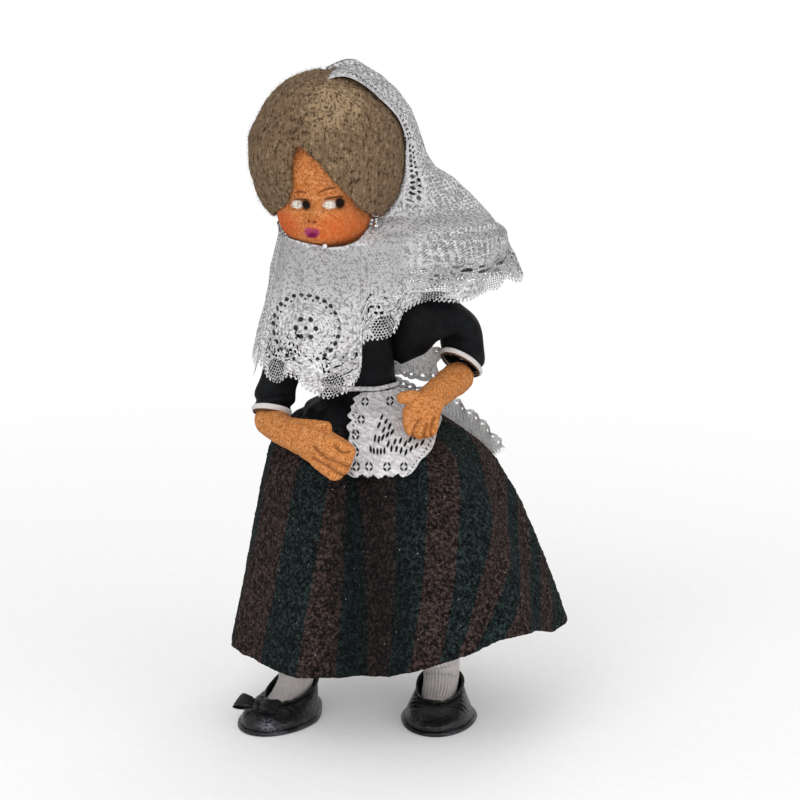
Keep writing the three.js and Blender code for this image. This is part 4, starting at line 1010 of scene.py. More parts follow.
# Strokes of the lash lines and brows: colour, strength, start, end, rise, thickness
FACE_STROKES = [
    ("ink", 0.6, (-8.5, -9.6), (-1.1, -8.9), 0.3, 0.4), ("ink", 0.7, (3.6, -8.9), (11.0, -8.0), 0.5, 0.42),
    ("brow", 0.8, (-7.9, -7.2), (-2.4, -6.5), 0.9, 0.5), ("brow", 0.85, (1.2, -6.8), (8.4, -4.6), 0.9, 0.55),
]
FACE_TONES = {
    "blush": (0.58, 0.085, 0.015), "far_blush": (0.60, 0.105, 0.018), "temple": (0.52, 0.13, 0.04),
    "nose": (0.36, 0.13, 0.03), "lip": (0.36, 0.050, 0.125), "far_lip": (0.33, 0.045, 0.11),
    "low_lip": (0.16, 0.008, 0.06), "nostril": (0.10, 0.022, 0.008), "lid": (0.16, 0.045, 0.014),
    "ink": (0.010, 0.005, 0.003), "brow": (0.17, 0.045, 0.012),
}


def head_points(out, up, grow=0.0):
    """Points of the felt head in its own frame; out is the direction from the front and up the rise."""
    level = np.sin(up)
    power = np.where(level < 0, 4.0, 2.15)
    low = np.where(level < 0, 28.2, HEAD_HALF[2])
    girth = (1 - np.abs(level) ** power) ** (1 / power)
    jaw = smooth(-level * 2.2)
    x = np.sin(out) * (HEAD_HALF[0] + grow) * girth * (1 - 0.1 * jaw) - 0.45 * jaw
    y = -np.cos(out) * (HEAD_HALF[1] + grow) * girth
    z = level * (low + grow) - jaw * x * 0.06
    front = smooth(np.cos(out) * 2)
    for depth, cx, cz, wide, high in FEATURES:
        y = y - depth * (front * np.exp(-((x - cx) / wide) ** 2 - ((z - cz) / high) ** 2))
    return np.stack([x, y, z], -1)


def on_head(points):
    """From the head's own frame about its centre to the doll."""
    return turned(points + HEAD_CENTRE, HEAD_CENTRE, HEAD_YAW)


def spot(board, x, z, centre, half, soft, block=False):
    """1 inside an oval painted on the face, or inside a block with rounded corners."""
    u, v = (x - centre[0]) / half[0], (z - centre[1]) / half[1]
    u, v = u * u, v * v
    near = (u * u + v * v).math("POWER", 0.25) if block else (u + v).math("SQRT")
    return 1.0 - board.ramp(near, 1 - soft, 1 + soft)


def arched(board, x, z, start, end, rise, thick):
    """A painted stroke between two points that arches up by rise."""
    middle = ((start[0] + end[0]) / 2, (start[1] + end[1]) / 2)
    half = (end[0] - start[0]) / 2
    slope = (end[1] - start[1]) / (end[0] - start[0])
    u = (x - middle[0]) / half
    line = (x - middle[0]) * slope + middle[1] + (1.0 - u * u) * rise
    taper = (1.0 - u * u * u * u).high(0.0)
    near = (z - line).math("ABSOLUTE") / (taper * thick + 0.001)
    return (1.0 - board.ramp(near, 0.7, 1.15)) * (1.0 - board.ramp(u.math("ABSOLUTE"), 0.92, 1.02))


def face_finish(colours):
    """Pressed felt with a face painted on it by hand."""
    material, board, shader, skin = felt_finish("face_felt", colours.face, 0.36, 0.2)
    place = board.rest()
    shake = board.noise(place, 0.7, 2.0, 0.6) - 0.5
    drift = board.noise(place, 2.4, 1.0) - 0.5
    x = board.mark("face_across") + shake * 0.8 + drift * 0.5
    z = board.mark("face_up") + shake * 0.6
    blotch = board.ramp(board.noise(place, 1.6, 3.0, 0.65), 0.3, 0.7, 0.45, 1.0)
    white = board.blend(board.ramp(shake, -0.16, 0.06), (0.40, 0.34, 0.27), (0.74, 0.69, 0.62))
    tones = {**FACE_TONES, "white": white}
    for name, strength, soft, centre, half in FACE_SPOTS:
        share = spot(board, x, z, centre, half, soft, block=name == "lid")
        if name.endswith("blush"):
            share = share * blotch
        skin = board.blend(share * strength, skin, tones[name])
    for name, strength, start, end, rise, thick in FACE_STROKES:
        skin = board.blend(arched(board, x, z, start, end, rise, thick) * strength, skin, tones[name])
    paint(board, shader, Base_Color=skin)
    return material


class BuildHead(bpy.types.Operator):
    """Felt head with its pressed features and painted face"""

    bl_idname = "doll.build_head"
    bl_label = "Head"

    def execute(self, context):
        colours = context.scene.doll_colours
        own = head_points(*np.meshgrid(circle(220), np.radians(np.linspace(-87, 86, 170))))
        world = on_head(own)
        world = world + 0.12 * lumps(world, 2.2, 5.0)[..., None] * unit(own)
        marks = {"face_across": own[..., 0] + (own[..., 1] > 2) * 60, "face_up": own[..., 2]}
        head = ring_piece("head_felt", world, face_finish(colours), marks, fill=(True, True))
        seat(head, "head", "face_felt", "face_mask", "head_back", "head_stuffing")
        return {"FINISHED"}


def mohair_finish(colours):
    """Brushed mohair: fine combed hairs in ash brown, paler over the upper front of the crown."""
    material, board, shader = finish_named("mohair")
    place = board.rest()
    fibre, clumps, height = board.group(fibre_group(), ("Fibre", "Clumps", "Height"), Place=place,
                                        Hair=0.42, Clump=3.0)
    flow = board.stretched(place, (1.5, 1.5, 0.4))
    strands = board.noise(flow, 1.3, 3.0, 0.65)
    grit = board.noise(place, 1.15, 2.0, 0.75)
    coarse = board.noise(place, 2.1, 2.0, 0.7)
    crown = board.mark("crown")
    base = board.blend(board.ramp(crown + (clumps - 0.5) * 0.5, 0.2, 0.9), colours.hair, colours.hair_light)
    grain = strands * 0.4 + grit * 0.3 + coarse * 0.3
    dark = board.blend(1.0 - board.ramp(grain, 0.40, 0.515), base, (0.040, 0.023, 0.011))
    tips = board.blend(board.ramp(grain, 0.53, 0.64) * 0.8, dark, (0.42, 0.30, 0.19))
    warm = board.ramp(board.noise(place, 9.0, 2.0, 0.6), 0.45, 0.65) * 0.5
    tips = board.blend(warm * board.ramp(fibre, 0.3, 0.8), tips, (0.115, 0.066, 0.036))
    matted = board.ramp(board.noise(place, 2.1, 3.0, 0.7), 0.56, 0.63) * board.ramp(crown, 0.1, 0.5)
    tips = board.blend(matted * 0.8, tips, (0.050, 0.030, 0.015))
    bumps = board.relief(height * 0.4 + strands * 0.3 + grit * 0.5, 1.0)
    paint(board, shader, Base_Color=tips, Roughness=0.9, Normal=bumps, Specular_IOR_Level=0.2)
    return material


def loose_hairs(surface, normals, count, length, seed):
    """Fine curved hairs that stand on a surface and lean down it, as narrow strips."""
    random = np.random.default_rng(seed)
    chosen = random.integers(0, len(surface), count)
    root, out = surface[chosen], normals[chosen]
    lean = np.array([0, 0, -1.0]) + random.normal(0, 0.7, (count, 3))
    lean = unit(lean - out * np.sum(lean * out, 1, keepdims=True))
    reach = length * random.uniform(0.45, 1.15, (count, 1))
    wide = unit(np.cross(out, lean)) * 0.055
    stages = [(0.0, -0.15, 1.0), (0.4, 0.28, 0.8), (0.75, 0.42, 0.5), (1.0, 0.44, 0.15)]
    points = np.stack([root + lean * reach * a + out * reach * b + wide * s * side
                       for a, b, s in stages for side in (-1, 1)], 1)
    faces = []
    for k in range(count):
        base = k * 8
        faces += [(base + 2 * i, base + 2 * i + 1, base + 2 * i + 3, base + 2 * i + 2) for i in range(3)]
    return points.reshape(-1, 3), faces


# Edge of the hair round the face in the head's frame: across, height
HAIRLINE = [
    (-5.0, 227.6), (-6.9, 225), (-8.0, 220), (-8.3, 211), (-10.4, 205), (-15, 201), (-17.8, 199.4), (-19, 190),
    (25, 190), (20.5, 198.6), (15.3, 204.2), (12, 209.2), (9, 212.9), (6.3, 216.7), (2.7, 220.8), (-2.6, 225.4),
]


PARTING = [(-34.0, -27.6, 227.0), (-31.5, -24.0, 240.0), (-29.0, -12.0, 250.5), (-27.5, 6.0, 252.0)]
# Where the wig is paler: centre and half sizes
PALE_PATCH = np.array([-24.5, -21, 241])
PALE_PATCH_HALF = np.array([16, 17, 15])
WIG_LOW_EDGE = 197.6


def in_wig(points):
    """How far out points lie in the wig: 1 on its outside."""
    return np.linalg.norm((points - HAIR_CENTRE) / HAIR_HALF, axis=1)


def hair_rings():
    """Rings of the wig's outside, from its lower edge to the crown."""
    a = circle(110)
    rise = np.sin(np.radians(np.linspace(-90, 88.5, 70)))
    z = mix(WIG_LOW_EDGE, HAIR_CENTRE[2] + HAIR_HALF[2], (rise + 1) / 2)
    reach = hair_reach(z) / HAIR_HALF[0]
    # The right side slopes in more, above and below
    slope = 0.07 * smooth((z - 224) / 14) + 0.045 * smooth((217 - z) / 8)
    reach = reach[:, None] * (1 - slope[:, None] * smooth(-np.sin(a) * 1.4))
    x = HAIR_CENTRE[0] + np.sin(a) * HAIR_HALF[0] * reach
    y = HAIR_CENTRE[1] - np.cos(a) * HAIR_HALF[1] * reach
    return np.stack([x, y, z[:, None] + 0 * a], -1)


class BuildHair(bpy.types.Operator):
    """Mohair wig, parted over the forehead and brushed down over the cheeks"""

    bl_idname = "doll.build_hair"
    bl_label = "Hair"

    def execute(self, context):
        sizes, colours = context.scene.doll_sizes, context.scene.doll_colours
        material = mohair_finish(colours)
        wig = ring_piece("wig", hair_rings(), material, fill=(True, True))
        tidy_normals(wig)
        head = head_points(*np.meshgrid(circle(90), np.radians(np.linspace(-87, 86, 70))), 0.3)
        prism = np.array([[(x, y, z - HEAD_CENTRE[2]) for x, z in HAIRLINE] for y in (-45.0, -3.0)])
        for name, form in (("head_cut", head), ("hairline_cut", prism)):
            cutter = ring_piece(name, on_head(form), material, fill=(True, True))
            tidy_normals(cutter)
            settle(wig, "BOOLEAN", object=cutter, operation="DIFFERENCE", solver="EXACT")
            bpy.data.objects.remove(cutter)
        settle(wig, "REMESH", mode="VOXEL", voxel_size=0.7 * MM, use_smooth_shade=True)
        settle(wig, "SMOOTH", factor=0.5, iterations=4)
        points, normals = points_of(wig), read_vertices(wig, "normal")
        waves = 0.5 * lumps(points * (1, 1, 0.4), 4.5, 2.0) + 0.3 * lumps(points * (1, 1, 0.5), 1.7, 6.0)
        groove = np.exp(-(near_lines(points, [PARTING]) / 1.5) ** 2)
        outer = smooth((in_wig(points) - 0.88) / 0.08)
        set_points(wig, points + normals * ((waves - 0.8 * groove) * outer)[:, None])
        remember(wig)
        wig.data.shade_smooth()
        cover(wig, material)
        surface, normals = points_of(wig), read_vertices(wig, "normal")
        seen = in_wig(surface) > 0.9
        points, faces = loose_hairs(surface[seen], normals[seen], 6500, sizes.fuzz / MM, 11)
        fuzz = new_piece("loose_hairs", points, faces, material)
        wig = joined("wig", [wig, fuzz])
        away = np.linalg.norm((points_of(wig) - PALE_PATCH) / PALE_PATCH_HALF, axis=1)
        store(wig.data, "crown", 1 - smooth(away * 0.75))
        seat(wig, "head", "mohair", "hair")
        return {"FINISHED"}


# ---------------------------------------------------------------- metal, wire and pearl

def metal_finish(name, colour, roughness, grain=0.6, from_frame=True):
    """Drawn or cast metal; a node of the frame has no rest place, so its own coordinates serve."""
    material, board, shader = finish_named(name)
    place = board.node("TexCoord", output="Object") if from_frame else board.rest()
    scratches = board.noise(place, grain * (MM if from_frame else 1.0), 3.0, 0.6)
    tone = board.blend(board.ramp(scratches, 0.35, 0.7), colour, dimmed(colour, 0.6))
    rough = board.ramp(scratches, 0.3, 0.7, roughness, roughness + 0.2)
    paint(board, shader, Base_Color=tone, Metallic=1.0, Roughness=rough)
    return material


def pearl_finish():
    material, board, shader = finish_named("pearl_bead")
    swirl = board.noise(board.rest(), 0.8, 2.0)
    tone = board.blend(board.ramp(swirl, 0.3, 0.7), (0.78, 0.72, 0.66), (0.66, 0.66, 0.74))
    paint(board, shader, Base_Color=tone, Roughness=board.ramp(swirl, 0.3, 0.7, 0.18, 0.3), Coat_Weight=0.4)
    return material


def lathe(centre, profile):
    """Rings of points from radius and height pairs round an upright line."""
    x, y, z = centre
    turn = circle(28)
    return np.array([np.stack([x + np.cos(turn) * r, y + np.sin(turn) * r, z + h + 0 * turn], -1)
                     for r, h in profile])


def box_of(node):
    """The low and the high corner of a node's box, in millimetres."""
    return [np.array(corner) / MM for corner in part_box(node)]


SILVER = (0.80, 0.80, 0.82)
# Beads of the earring's drop: radius, height below its top
DROP_PROFILE = [
    (0.02, 0), (0.34, -0.05), (0.42, -0.35), (0.3, -0.6), (0.5, -0.75), (0.72, -1.05), (0.72, -1.3),
    (0.5, -1.6), (0.42, -1.7), (0.7, -1.95), (1.12, -2.4),
    (1.25, -2.85), (1.12, -3.3), (0.7, -3.75), (0.4, -3.95),
    (0.45, -4.1), (0.42, -4.3), (0.2, -4.42), (0.02, -4.45),
]
PIN_BEAD_R = 0.9


class BuildTrinkets(bpy.types.Operator):
    """Drop earring, mantilla pin and the armature wires"""

    bl_idname = "doll.build_trinkets"
    bl_label = "Earring, pin and wires"

    def execute(self, context):
        low, high = box_of("earring_drop")
        top = ((low[0] + high[0]) / 2, (low[1] + high[1]) / 2, high[2])
        silver = metal_finish("earring_silver", SILVER, 0.14, 0.5, from_frame=False)
        drop = ring_piece("earring_beads", lathe(top, DROP_PROFILE), silver, fill=(True, True))
        seat(drop, "earring", "silver", "earring_drop")
        low, high = box_of("mantilla_pin")
        bead = np.array([high[0] - 1.3, (low[1] + high[1]) / 2 + 0.4, high[2] - 2.3])
        rises = np.radians(np.linspace(-88, 88, 15))
        profile = [(PIN_BEAD_R * math.cos(rise), PIN_BEAD_R * math.sin(rise)) for rise in rises]
        head = ring_piece("pin_bead", lathe(bead, profile), pearl_finish(), fill=(True, True))
        path = [bead + (-6.2, 3.2, -1.4), bead + (-3, 1.4, -0.7), bead]
        shank = sweep(path, [(0.3, 0.3)] * 3, (0, 1, 0), 10, 10)
        steel = metal_finish("earring_pin_steel", (0.62, 0.62, 0.64), 0.25, from_frame=False)
        needle = ring_piece("pin_shank", shank, steel, fill=(True, True))
        seat(head, "head", "pearl", "mantilla_pin")
        seat(needle, "head", "silver")
        metals = {
            "earring_loop": metal_finish("loop_silver", SILVER, 0.18),
            "_wire": metal_finish("drawn_wire", (0.42, 0.42, 0.42), 0.35),
            "_shoe_insole": metal_finish("insole_plate", (0.44, 0.45, 0.46), 0.4, 1.2),
        }
        for name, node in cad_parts.items():
            for ending, metal in metals.items():
                if name.endswith(ending):
                    cover(node, metal)
        return {"FINISHED"}


# ---------------------------------------------------------------- limbs, hands and body

class BuildBody(bpy.types.Operator):
    """Stuffed felt trunk, upper arms, thighs and shins, which the clothes mostly hide"""

    bl_idname = "doll.build_body"
    bl_label = "Body and limbs"

    def execute(self, context):
        felt = felt_finish("body_felt", context.scene.doll_colours.body, 0.4)[0]
        limbs = [f"{side}_{part}" for side in SIDES for part in ("upper_arm", "thigh", "shin")]
        for node in ["torso", *limbs]:
            # The upper arms are squeezed in their sleeves
            squeeze = 1.3 if node.endswith("upper_arm") else 0.05

            def pressed_in(points, normals):
                return points + normals * (0.22 * lumps(points, 5.0) - squeeze)[:, None]
            grain = 0.9 if node == "torso" else 0.7
            piece = stuffed_copy(f"{node}_stuffed", node, grain, 5, felt, pressed_in)
            seat(piece, node, "body_felt", node)
        return {"FINISHED"}


# Stitched lines between the fingers, along the hand in millimetres
FINGER_LINES = {
    "left": [[(7.1, 0, 124.5), (5.0, 0, 121.1), (4.7, 0, 118.0), (6.0, 0, 116.0)],
             [(10.1, 0, 122.8), (9.1, 0, 119.3), (9.4, 0, 116.0)],
             [(12.8, 0, 124.8), (11.5, 0, 121.0), (11.8, 0, 117.0)]],
    "right": [[(-24.0, 0, 119.0), (-21.6, 0, 117.0), (-18.6, 0, 117.0)],
              [(-31.8, 0, 117.5), (-27.7, 0, 114.7), (-23.0, 0, 113.2), (-18.4, 0, 111.2)],
              [(-32.2, 0, 113.4), (-27.8, 0, 112.0), (-23.7, 0, 109.9), (-20.4, 0, 107.4)]],
}
# Felt that fills out the palm and thumb: path, radius across, radius through
HAND_PADS = {
    "left": [([(11.6, -17, 130.4), (11.2, -23.4, 126.6), (10.4, -26.4, 121.6)], 3.6, 3.2)],
    "right": [([(-40, -26, 119.6), (-33, -33.5, 120.6), (-25, -39.5, 121.4), (-20.4, -42.6, 121.6)], 4.4, 3.6),
              ([(-29, -37, 118.4), (-24, -42.2, 117.2), (-20.4, -44.6, 115.6)], 4.6, 3.8)],
}


def stitch(points, normals, lines, width):
    """1 on the stitched lines of the hand's front, 0 beside them."""
    return np.exp(-(near_lines(points * (1, 0, 1), lines) / width) ** 2) * smooth(0.3 - normals[:, 1])


class BuildHands(bpy.types.Operator):
    """Felt forearms and mitten hands with stitched fingers"""

    bl_idname = "doll.build_hands"
    bl_label = "Hands"

    def execute(self, context):
        material, board, shader, felt = felt_finish("hand_felt", context.scene.doll_colours.hand, 0.34, 0.2)
        stitched = board.mark("stitch")
        paint(board, shader, Base_Color=board.blend(stitched * 0.75, felt, (0.13, 0.035, 0.010)))
        for side in SIDES:
            lines = FINGER_LINES[side]
            bend, sleeve_end = np.array(sleeve_path(side))[-2:]
            up_sleeve = unit(bend - sleeve_end)

            def stitched_fingers(points, normals):
                groove = stitch(points, normals, lines, 0.8)
                points = points + normals * (0.3 * lumps(points, 3.4, 4.0) - 1.15 * groove + 0.1)[:, None]
                # The elbow is squeezed a little inside the sleeve
                above = smooth((points - sleeve_end) @ up_sleeve / 2.5)[:, None]
                return mix(points, sleeve_end + (points - sleeve_end) * 0.74, above)
            pads = [sweep(path, [(wide, deep)] * len(path), (0.15, 0.35, 1), 12, 16, (True, True))
                    for path, wide, deep in HAND_PADS[side]]
            hand = stuffed_copy(f"{side}_hand", f"{side}_forearm_and_hand", 0.55, 7, material,
                                stitched_fingers, pads)
            store(hand.data, "stitch", stitch(points_of(hand), read_vertices(hand, "normal"), lines, 0.5))
            seat(hand, f"{side}_forearm", "hand_felt", f"{side}_forearm_and_hand")
        return {"FINISHED"}


# ---------------------------------------------------------------- bodice, sleeves and cuffs

# Levels of the bodice: height, centre x and y, half width, half depth
BODICE = [
    (119.6, -12.6, 1.9, 24.0, 23.4), (123.2, -13.6, 2, 21, 18.6), (125.9, -14.4, 2, 15.6, 13.2),
    (130, -15, 2, 12.6, 10.2), (142, -16.5, 1.4, 13.4, 11), (151.5, -17.4, 1.8, 13.6, 11),
    (160, -17.6, 3, 17, 9.6), (167, -19.6, 3.2, 13, 8.2), (169.5, -21, 3.2, 11, 7.6),
]
SATIN_OUT = 1.25
ARMHOLE_R = 9.3
# Where each sleeve ends over the elbow, and how its opening leans: across, through
SLEEVE_END = {"right": (-48.9, -6.6, 122.6), "left": (23.6, 11.6, 137.2)}
SLEEVE_LEAN = {"right": (-0.16, 0.34), "left": (0.26, 0.44)}


def sleeve_path(side):
    return [*UPPER_ARM[side], SLEEVE_END[side]]


def cuff_tilt(side, points):
    """How far the sleeve's end hangs lower on one side."""
    end = np.array(SLEEVE_END[side])
    near = smooth(1 - (np.linalg.norm(points - end, axis=-1) - 8) / 9)
    across, through = SLEEVE_LEAN[side]
    return near * ((points[..., 0] - end[0]) * across + (points[..., 1] - end[1]) * through)


def satin_finish(colours):
    """Black silk satin: fine weave, clouds of painted grey sheen, rougher in the same clouds, a little dusty.
    """
    material, board, shader = finish_named("black_satin")
    place = board.rest()
    weave = board.noise(board.stretched(place, (1, 1, 3.2)), 0.3, 2.0)
    cloud = board.noise(place, 7.0, 3.0, 0.6)
    fluff = board.noise(place, 0.45, 2.0, 0.7)
    # Painted sheen: soft clouds of lighter grey where the satin would catch the light
    soft = board.ramp(cloud, 0.42, 0.7, 0.0, 0.8) * board.ramp(fluff, 0.3, 0.7, 0.4, 1.0)
    tone = board.blend(soft, colours.satin, colours.satin_sheen)
    dust = board.group(wear_group(), "Rub", Place=place, Rub=0.35)
    tone = board.blend(dust * 0.4, tone, (0.022, 0.018, 0.014))
    paint(board, shader, Base_Color=tone, Roughness=board.ramp(cloud, 0.3, 0.7, 0.42, 0.62),
          Normal=board.relief(weave * 0.6 + fluff * 0.4, 0.16), Specular_IOR_Level=0.1)
    return material


class BuildBodice(bpy.types.Operator):
    """Fitted satin bodice that flares over the skirt, with its two armholes"""

    bl_idname = "doll.build_bodice"
    bl_label = "Bodice"

    def execute(self, context):
        table = np.array(BODICE, float)
        a = circle(200)
        rings = []
        for v in np.linspace(0, 1, 110):
            z, x, y = curve(table[:, [0, 1, 2]], v)[0]
            wide, deep = curve(table[:, [3, 4, 0]], v)[0, :2] + SATIN_OUT
            rings.append(np.stack([x + np.cos(a) * wide, y + np.sin(a) * deep, z + 0 * a], -1))
        rings = np.array(rings)
        centre = np.array([-17, 2, 0])
        out = unit((rings - centre) * (1, 1, 0))
        z = rings[..., 2]
        turn = np.arctan2(out[..., 1], out[..., 0])
        waist = hump(z, 130, 4.5)
        flare = smooth((129 - z) / 6)
        pleats = flare * (0.55 * np.sin(turn * 9 + 1) + 0.3 * np.sin(turn * 15))
        pleats = waist * 0.28 * np.sin(turn * 34) + pleats
        creases = 0.5 * lumps(rings * (1, 1, 0.45), 5.2, 4.4) + 0.22 * lumps(rings * (1, 1, 0.7), 2.4, 9.0)
        rings = rings + out * (pleats + creases - 0.25)[..., None]
        for side in SIDES:
            shoulder = np.array(SHOULDER[side])
            away = rings - shoulder
            far = np.linalg.norm(away, axis=-1, keepdims=True)
            rings = np.where(far < ARMHOLE_R, shoulder + away / far * ARMHOLE_R, rings)
        middle = centre * (1, 1, 0)
        rings = np.concatenate([((rings[:3] - middle) * (0.96, 0.96, 1) + middle)[::-1], rings])
        satin = satin_finish(context.scene.doll_colours)
        bodice = ring_piece("bodice_satin", rings, satin)
        seat(bodice, "torso", "black_satin", "bodice")
        for side in SIDES:
            self.sleeve(side, satin)
        return {"FINISHED"}

    def sleeve(self, side, satin):
        """Loose sleeve with soft creases, deepest at the bend of the arm."""
        full = {"right": 7.7, "left": 8.4}[side]
        path = sleeve_path(side)

        def creases(ts, angles):
            ring = np.sin(ts * 26 + np.sin(angles) * 2.4) * 0.34 + np.sin(ts * 15 - angles * 2 + 1) * 0.3
            soft = np.sin(angles * 5 + ts * 7) * 0.22 + np.sin(angles * 3 - ts * 9) * 0.28
            return (ring + soft) * smooth(ts * 4) - 0.5 * smooth((ts - 0.93) / 0.07) - 0.15
        widths = [(width, width) for width in (full - 0.4, full, full - 0.5)]
        rings = sweep(path, widths, (0, 1, 0.2), 90, 96, (True, False), creases)
        # The left sleeve sags under the arm and lies close along its upper side
        ts = np.linspace(0, 1, len(rings))[:, None]
        centre = rings.mean(1, keepdims=True)
        hang = {"right": 1.5, "left": 15.0}[side] * smooth(ts * 14 + 0.6) * np.clip(1 - ts / 0.45, 0, 1)
        lean = {"right": 0.0, "left": 5.0}[side] * np.clip(1 - ts / 0.5, 0, 1)
        close = {"right": 0.2, "left": 1.1}[side] * hump(ts, 0.46, 0.2)
        under = np.clip((centre - rings)[..., 2] / full, 0, 1)
        rings[..., 2] -= hang * under
        rings[..., 0] -= lean * under
        outside = (0.6, 0, 0.8)
        upper = np.clip((rings - centre) @ outside / full, 0, 1)
        rings = rings - (close * upper)[..., None] * outside
        rings[..., 2] -= cuff_tilt(side, rings)
        inner = [mix(ring.mean(0), ring, 0.88) for ring in rings[-1:-9:-1]]
        rings = np.concatenate([rings[2:], np.array(inner)])
        piece = ring_piece(f"{side}_sleeve_satin", rings, satin)
        seat(piece, f"{side}_upper_arm", "black_satin", f"{side}_sleeve")


# Section of a cuff: radius, place along the arm
CUFF_PROFILE = [
    (6.95, -0.3), (7.1, -1.1), (7.6, -1.5), (8.3, -1.2), (8.6, -0.45), (8.55, 0.2), (8.1, 0.6), (7.75, 0.75),
    (7.8, 1.0), (7.6, 1.35), (7.25, 1.3), (7.0, 0.9), (6.95, 0.3),
]
CUFF_R = 7.7
CUFF_BEADS = 22


class BuildCuffs(bpy.types.Operator):
    """White corded cuffs, edged with a thin brown cord"""

    bl_idname = "doll.build_cuffs"
    bl_label = "Cuffs"

    def execute(self, context):
        colours = context.scene.doll_colours
        material, board, shader = finish_named("cuff_cord")
        round_cuff, down = board.marks("round_cuff", "down")
        height, shade = board.group(yarn_group(), ("Height", "Shade"), Across=down, Along=round_cuff,
                                    Width=0.95, Loop=0.8)
        fluff = board.noise(board.rest(), 0.3, 3.0)
        # Painted shade in the hollows between the cord's loops
        white = board.blend(shade, dimmed(colours.cuff, 0.72), colours.cuff)
        white = board.blend(board.ramp(fluff, 0.5, 0.75) * 0.4, white, (0.45, 0.30, 0.22))
        tone = board.blend(board.ramp(down, 1.85, 2.05), white, (0.10, 0.040, 0.018))
        paint(board, shader, Base_Color=tone, Roughness=0.9, Normal=board.relief(height + fluff * 0.3, 0.35))
        for side in SIDES:
            path = curve(sleeve_path(side), np.linspace(0, 1, 60))
            down_arm = unit(path[-1] - path[-4])
            centre = path[-1] + down_arm * 0.35
            narrow = {"right": 0.92, "left": 0.98}[side]
            across = unit(np.cross(down_arm, (0, 1, 0)))
            through = np.cross(down_arm, across)
            a = circle(150)
            bead = 0.12 * np.abs(np.sin(a * CUFF_BEADS))
            rings = []
            for radius, along in CUFF_PROFILE:
                r = radius * narrow + bead * (abs(along) < 1.2) * (radius > 7.4)
                sides = across * (np.cos(a) * r)[:, None] + through * (np.sin(a) * r)[:, None]
                rings.append(centre + down_arm * along + sides)
            rings = np.array(rings)
            down_cuff = np.array(CUFF_PROFILE)[:, 1:] + 1.2
            marks = {"down": down_cuff + 0 * a, "round_cuff": a * CUFF_R + 0 * down_cuff}
            rings[..., 2] -= cuff_tilt(side, rings)
            cuff = ring_piece(f"{side}_cuff_cord", rings, material, marks)
            across_joint(cuff, (f"{side}_upper_arm", f"{side}_forearm"), centre - down_arm * 1.6,
                         centre + down_arm * 1.9, "white_trim", f"{side}_cuff")
        return {"FINISHED"}


# ---------------------------------------------------------------- the apron

# Edges of the panel: height, right edge, left edge
APRON_EDGES = [
    (130.6, -15, -1), (127, -17.4, 8), (123.6, -18.6, 13.4), (118.6, -18.6, 15.4), (113, -18.2, 11.0),
    (107, -19.2, 3.4),
]
KNOT = np.array([-7, 14.6, 132.3])
# Middles of the four-petalled eyelets of the apron: across, height
DIAMONDS = [
    (-13.2, 127.6), (-3.8, 127.2), (-14.6, 122.7), (-16.6, 118.4), (-16.6, 113.6), (-16.2, 109.4),
    (-11.5, 109.5), (-4.8, 109.4), (1.4, 109.2), (3.6, 125.4), (9.6, 121.8),
]
# Narrow eyelets of the apron's flower: across, height, lean in degrees
SLOTS = [
    (-6.9, 123.2, 32), (-5.2, 121.9, 34), (-7.9, 120.9, 36), (-6.1, 119.6, 40), (-3.9, 120.4, 36),
    (-9.3, 117.6, 10), (-7.9, 117.2, 14), (-6.4, 117.6, 34), (-4.7, 118.2, 40), (-2.9, 118.9, 44),
    (-10.9, 114.6, -14), (-9.7, 114.2, -8), (-8.4, 114.0, -3), (-7.1, 113.9, 0), (-5.8, 114.0, 4),
    (-4.4, 115.8, 26), (-3.2, 114.5, 12), (-1.9, 116.4, 30), (-1.3, 114.4, 18), (0.2, 116.6, 34),
    (0.4, 113.9, 20), (2.0, 115.6, 40), (2.2, 113.2, 26), (3.8, 116.4, 46), (4.2, 114.0, 36),
    (5.8, 116.9, 50), (6.2, 114.6, 42), (7.8, 117.3, 52), (8.4, 115.2, 46),
]
# The bow: path from the knot, way its width stands, half width, layers, ruffle, raggedness of the end
BOW = {
    "left_loop": ([(2.2, .4, .8), (9, -0.6, 5.2), (17, -0.2, 5.6), (21.6, 1.6, 3.4), (18, 3.6, 1.4),
                   (9, 3.4, 2.4), (2.2, 1.6, .2)], (0.35, 0, 1), 5.2, 2, 0.4, 0.0),
    "right_loop": ([(-2.2, .6, .8), (-6.8, 1.0, 4.6), (-12, 0.6, 4.6), (-15.4, 1.8, 2.6), (-12, 3.4, 1.2),
                    (-6.6, 3.2, 1.6), (-2.2, 1.8, .2)], (-0.3, 0, 1), 5.0, 2, 0.4, 0.0),
    "left_tail": ([(1.6, 1.6, -1.6), (12, 7.4, -10.4), (26, 7.2, -16.8), (37, 3.4, -24.4),
                   (45.4, -0.6, -34.2)], (0.42, -0.5, 1), 6.4, 1, 0.7, 0.07),
    "right_tail": ([(-1, 1.8, -2.4), (-3, 12.4, -9.8), (-5.4, 24.6, -16.4), (-7, 33, -31)],
                   (1, .1, .1), 5.2, 1, 0.6, 0.08),
}
# Scallops and eyelets along a ribbon's edges, this far apart
RIBBON_STEP = 3.2


def under_apron(z):
    """Round of the clothes that the apron lies on: centre x, centre y, half width, half depth."""
    satin = SATIN_OUT + 2.2 * smooth((130 - z) / 6.8)
    rim = np.maximum(z, 123.2)
    bodice = [table_value(BODICE[1:], rim, k) for k in (1, 2, 3, 4)]
    bodice[2], bodice[3] = bodice[2] + satin, bodice[3] + satin
    half = table_value(SKIRT[::-1], z) + 2.2
    bell = [table_value(SKIRT[::-1], z, 2), table_value(SKIRT[::-1], z, 3), half, half]
    further = (z < 124.2) & (bell[1] - bell[3] < bodice[1] - bodice[3])
    return [np.where(further, b, s) for b, s in zip(bell, bodice)]


